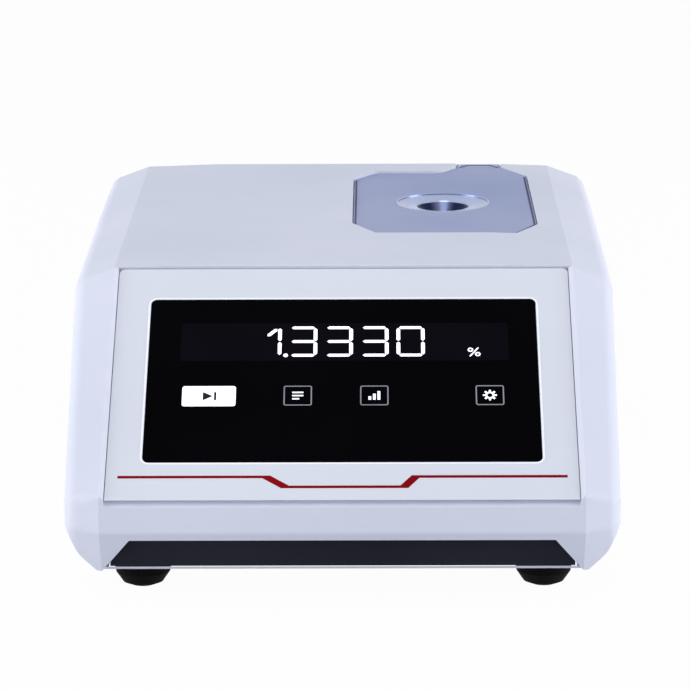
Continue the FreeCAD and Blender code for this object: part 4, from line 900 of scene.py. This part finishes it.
stripe = {
    "x": (-87.6, -29.6, -22.2, 24.2, 28.6, 87.8), "high": 11.9, "low": 6.7,
    "width": 1.35, "slantExtra": 1.5, "heights": (0.004, 0.03),
}


# thin at the ends and along the low run, and thicker down the two slants
def makeStripe(mat):
    bm = bmesh.new()
    xs, high, low = stripe["x"], stripe["high"], stripe["low"]
    h, t = stripe["width"] / 2, stripe["slantExtra"]
    lower = ((xs[0], high - h), (xs[1] - t, high - h), (xs[2] - t, low - h),
             (xs[3] + t, low - h), (xs[4] + t, high - h), (xs[5], high - h))
    upper = ((xs[5], high + h), (xs[4] - t, high + h), (xs[3] - t, low + h),
             (xs[2] + t, low + h), (xs[1] + t, high + h), (xs[0], high + h))
    addPlate(bm, lower + upper, slopeFrame, stripe["heights"])
    finishPiece("paintedStripe", bm, [mat])


# painted highlight: near white, with a faint glow
glassHighlightLook = {
    "light": srgb(252, 253, 255), "dark": srgb(248, 249, 253),
    "roughness": 0.3, "glow": 0.12,
    "relief": 0.05,
}
stripeLook = {
    "light": srgb(146, 4, 16), "dark": srgb(136, 2, 12),
    "roughness": 0.5, "specular": 0.05, "flecks": 0.3,
    "relief": 0.05,
}
makeGlassHighlight(makeMaterial("glassHighlightPaint", glassHighlightLook))
makeStripe(makeMaterial("stripePaint", stripeLook))
print("fascia trimmed")


# Measuring plate: painted shade as a dark strip down either side, where the well wall lies in
# shade, and a painted shadow line round the cover's socket

plateShadeStrips = {
    "lines": (((-39.5, 50.5), (-39.5, -50.7), (-30.3, -69.2)),
              ((30.3, -69.2), (39.5, -50.7), (39.5, 58.6))),
    "width": 0.8, "heights": (0.01, 0.12),
}


# painted shade: dark strips along the plate's two sides, where the well wall is in shade
def makePlateShadeStrips(mat):
    bm = bmesh.new()
    for line in plateShadeStrips["lines"]:
        addStrip(bm, line, plateShadeStrips["width"], plateFrame, plateShadeStrips["heights"])
    finishPiece("plateShadeStrips", bm, [mat])


socketShadowLine = {
    "points": ((9.2, 82.6), (13.4, 88.6), (23.8, 88.6), (28.0, 82.6)),
    "width": 0.9, "heights": (0.01, 0.10),
}


# painted shadow: a dark line over the gap round the cover's socket
def makeSocketShadowLine(mat):
    bm = bmesh.new()
    addStrip(bm, socketShadowLine["points"], socketShadowLine["width"], plateFrame, socketShadowLine["heights"])
    finishPiece("socketShadowLine", bm, [mat])


# dark navy for painted shade and painted shadow lines
paintedShadeLook = {
    "light": srgb(52, 58, 104), "dark": srgb(42, 48, 92),
    "roughness": 0.6, "specular": 0.2,
    "relief": 0.2,
}
paintedShade = makeMaterial("paintedShadeDark", paintedShadeLook)
makePlateShadeStrips(paintedShade)
makeSocketShadowLine(paintedShade)
print("plate trimmed")


# Rear: contacts in the sockets, marks on the rocker, and painted shade for the drive crosses in
# the fan's screws.
# In the rear frame, x runs to the right as seen from behind, y up and z out.

def rearFrameAt(origin):
    return frameAt(origin, (-1, 0, 0), (0, 0, 1))


# the rear frame at the middle of a node's lower rear edge
def rearFrameOf(node):
    low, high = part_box(node)
    return rearFrameAt(((low.x + high.x) / 2 / mm, high.y / mm, low.z / mm))


# a contact's frame: its z points down and its y out of the socket, lower outside if it leans
def contactFrame(node, x, height, depth, lean=0.0):
    root = Vector((x, height, -depth)) * mm
    return (rearFrameOf(node) @ Matrix.Translation(root)
            @ Matrix.Rotation(math.radians(90 + lean), 4, "X"))


# how far the i-th of count things lies from their middle
def spaced(i, count, pitch):
    return (i - (count - 1) / 2) * pitch


networkPins = {
    "count": 8, "pitch": 1.02, "width": 0.5, "thickness": 0.3, "rounding": 0.1,
    "sill": 3.4, "far": 9.0, "near": 1.4, "lean": 9.0,
}


# eight sprung wires that slope down towards the opening
def makeNetworkContacts(mat):
    bm = bmesh.new()
    half = networkPins["width"] / 2
    length = networkPins["far"] - networkPins["near"]
    for i in range(networkPins["count"]):
        x = spaced(i, networkPins["count"], networkPins["pitch"])
        lie = contactFrame("ethernet_socket", x, networkPins["sill"], networkPins["near"],
                           networkPins["lean"])
        addBox(bm, (-half, half), (-length, 0), lie, (0, networkPins["thickness"]),
               rounding=networkPins["rounding"], segments=1)
    finishPiece("networkContacts", bm, [mat])


# the plug's pins stand out of a dark insulator, inside a tinned shell
serialInside = {"bodyDepth": 12.0, "slack": 0.05, "middle": 6.25, "pinHalfHeight": 2.2,
                "pinHalfWidth": 6.3}


def dressSerialInside(insulator, metal):
    low, high = (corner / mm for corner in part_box("serial_connector"))
    floor = low.y + serialInside["bodyDepth"] + serialInside["slack"]
    x, z = (low.x + high.x) / 2, low.z + serialInside["middle"]
    dressFaces("serial_connector", insulator, lambda p: p.y < floor)
    dressFaces("serial_connector", metal,
               lambda p: p.y > floor and abs(p.z - z) < serialInside["pinHalfHeight"]
               and abs(p.x - x) < serialInside["pinHalfWidth"])


usbSockets = {
    "pitch": 17.5, "mouth": 1.4, "halfWidth": 5.45, "zRange": (0.55, 5.15),
    "contacts": 4, "contactPitch": 2.0, "contactWidth": 1.1, "thickness": 0.12, "rounding": 0.2,
    "top": 2.85, "far": 8.0, "near": 1.8,
}


# the tongue and the back wall of each socket are plastic
def dressUsbInside(insulator):
    low, high = (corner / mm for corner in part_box("usb_sockets"))
    middle = (low.x + high.x) / 2
    bottom, top = usbSockets["zRange"]
    dressFaces("usb_sockets", insulator,
               lambda p: p.y < high.y - usbSockets["mouth"] and bottom < p.z - low.z < top
               and abs(abs(p.x - middle) - usbSockets["pitch"] / 2) < usbSockets["halfWidth"])


# four strips under the tongue of each socket
def makeUsbContacts(mat):
    bm = bmesh.new()
    half = usbSockets["contactWidth"] / 2
    length = usbSockets["far"] - usbSockets["near"]
    for side in (-1, 1):
        for i in range(usbSockets["contacts"]):
            x = (side * usbSockets["pitch"] / 2
                 + spaced(i, usbSockets["contacts"], usbSockets["contactPitch"]))
            lie = contactFrame("usb_sockets", x, usbSockets["top"], usbSockets["near"])
            addBox(bm, (-half, half), (-length, 0), lie, (0, usbSockets["thickness"]),
                   rounding=usbSockets["rounding"], segments=1)
    finishPiece("usbContacts", bm, [mat])


rocker = {
    "pivot": (-52.0, 154.2, 68.0), "tip": 10.0, "face": 4.0, "dish": 1.6, "half": 7.6,
    "markPlace": 4.7, "barWidth": 0.7, "barHeight": 2.8, "barRounding": 0.15,
    "ringRadius": 1.5, "ringWidth": 0.5, "heights": (0.03, 0.09),
}


# a bar for on and a ring for off, printed in the rocker's hollow face
def makeRockerMarks(mat):
    bm = bmesh.new()
    tip = math.radians(rocker["tip"])
    rest = frameAt(rocker["pivot"], (-1, 0, 0), (0, math.sin(tip), math.cos(tip)))
    radius = (rocker["half"] ** 2 + rocker["dish"] ** 2) / (2 * rocker["dish"])
    spots = []
    for y in (rocker["markPlace"], -rocker["markPlace"]):
        depth = rocker["face"] - rocker["dish"] + radius - math.sqrt(radius ** 2 - y ** 2)
        spots.append(rest @ Matrix.Translation(Vector((0, y, depth)) * mm)
                     @ Matrix.Rotation(math.asin(y / radius), 4, "X"))
    w, h = rocker["barWidth"] / 2, rocker["barHeight"] / 2
    addBox(bm, (-w, w), (-h, h), spots[0], rocker["heights"], rounding=rocker["barRounding"],
           segments=2)
    addDisc(bm, 0, 0, rocker["ringRadius"], spots[1], rocker["heights"], rim=rocker["ringWidth"])
    finishPiece("rockerMarks", bm, [mat], "rocker")


fanCrossShade = {"reach": 1.7, "width": 0.55, "headRadius": 2.75, "heights": (0.01, 0.05),
              "turns": (12, 47, 63, 28)}


# painted shade: a flat dark cross on the head of each fan screw, where the drive recess is in
# shade
def makeFanCrossShade(mat):
    bm = bmesh.new()
    low, high = (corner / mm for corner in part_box("fan_screws"))
    inset = fanCrossShade["headRadius"]
    r, w = fanCrossShade["reach"], fanCrossShade["width"] / 2
    cross = ((-w, -r), (w, -r), (w, -w), (r, -w), (r, w), (w, w),
             (w, r), (-w, r), (-w, w), (-r, w), (-r, -w), (-w, -w))
    places = [(x, high.y, z) for x in (low.x + inset, high.x - inset)
              for z in (low.z + inset, high.z - inset)]
    for place, turn in zip(places, fanCrossShade["turns"]):
        head = rearFrameAt(place) @ Matrix.Rotation(math.radians(turn), 4, "Z")
        addPlate(bm, cross, head, fanCrossShade["heights"])
    finishPiece("fanScrewCrossShade", bm, [mat])


markLook = {
    "light": srgb(236, 237, 240), "dark": srgb(226, 227, 231),
    "roughness": 0.5,
    "relief": 0.05,
}
dressSerialInside(black, gold)
dressUsbInside(black)
makeNetworkContacts(gold)
makeUsbContacts(gold)
makeRockerMarks(makeMaterial("markPaint", markLook))
# the dark ink here is painted shade in the screw recesses
makeFanCrossShade(ink)
print("rear detailed")
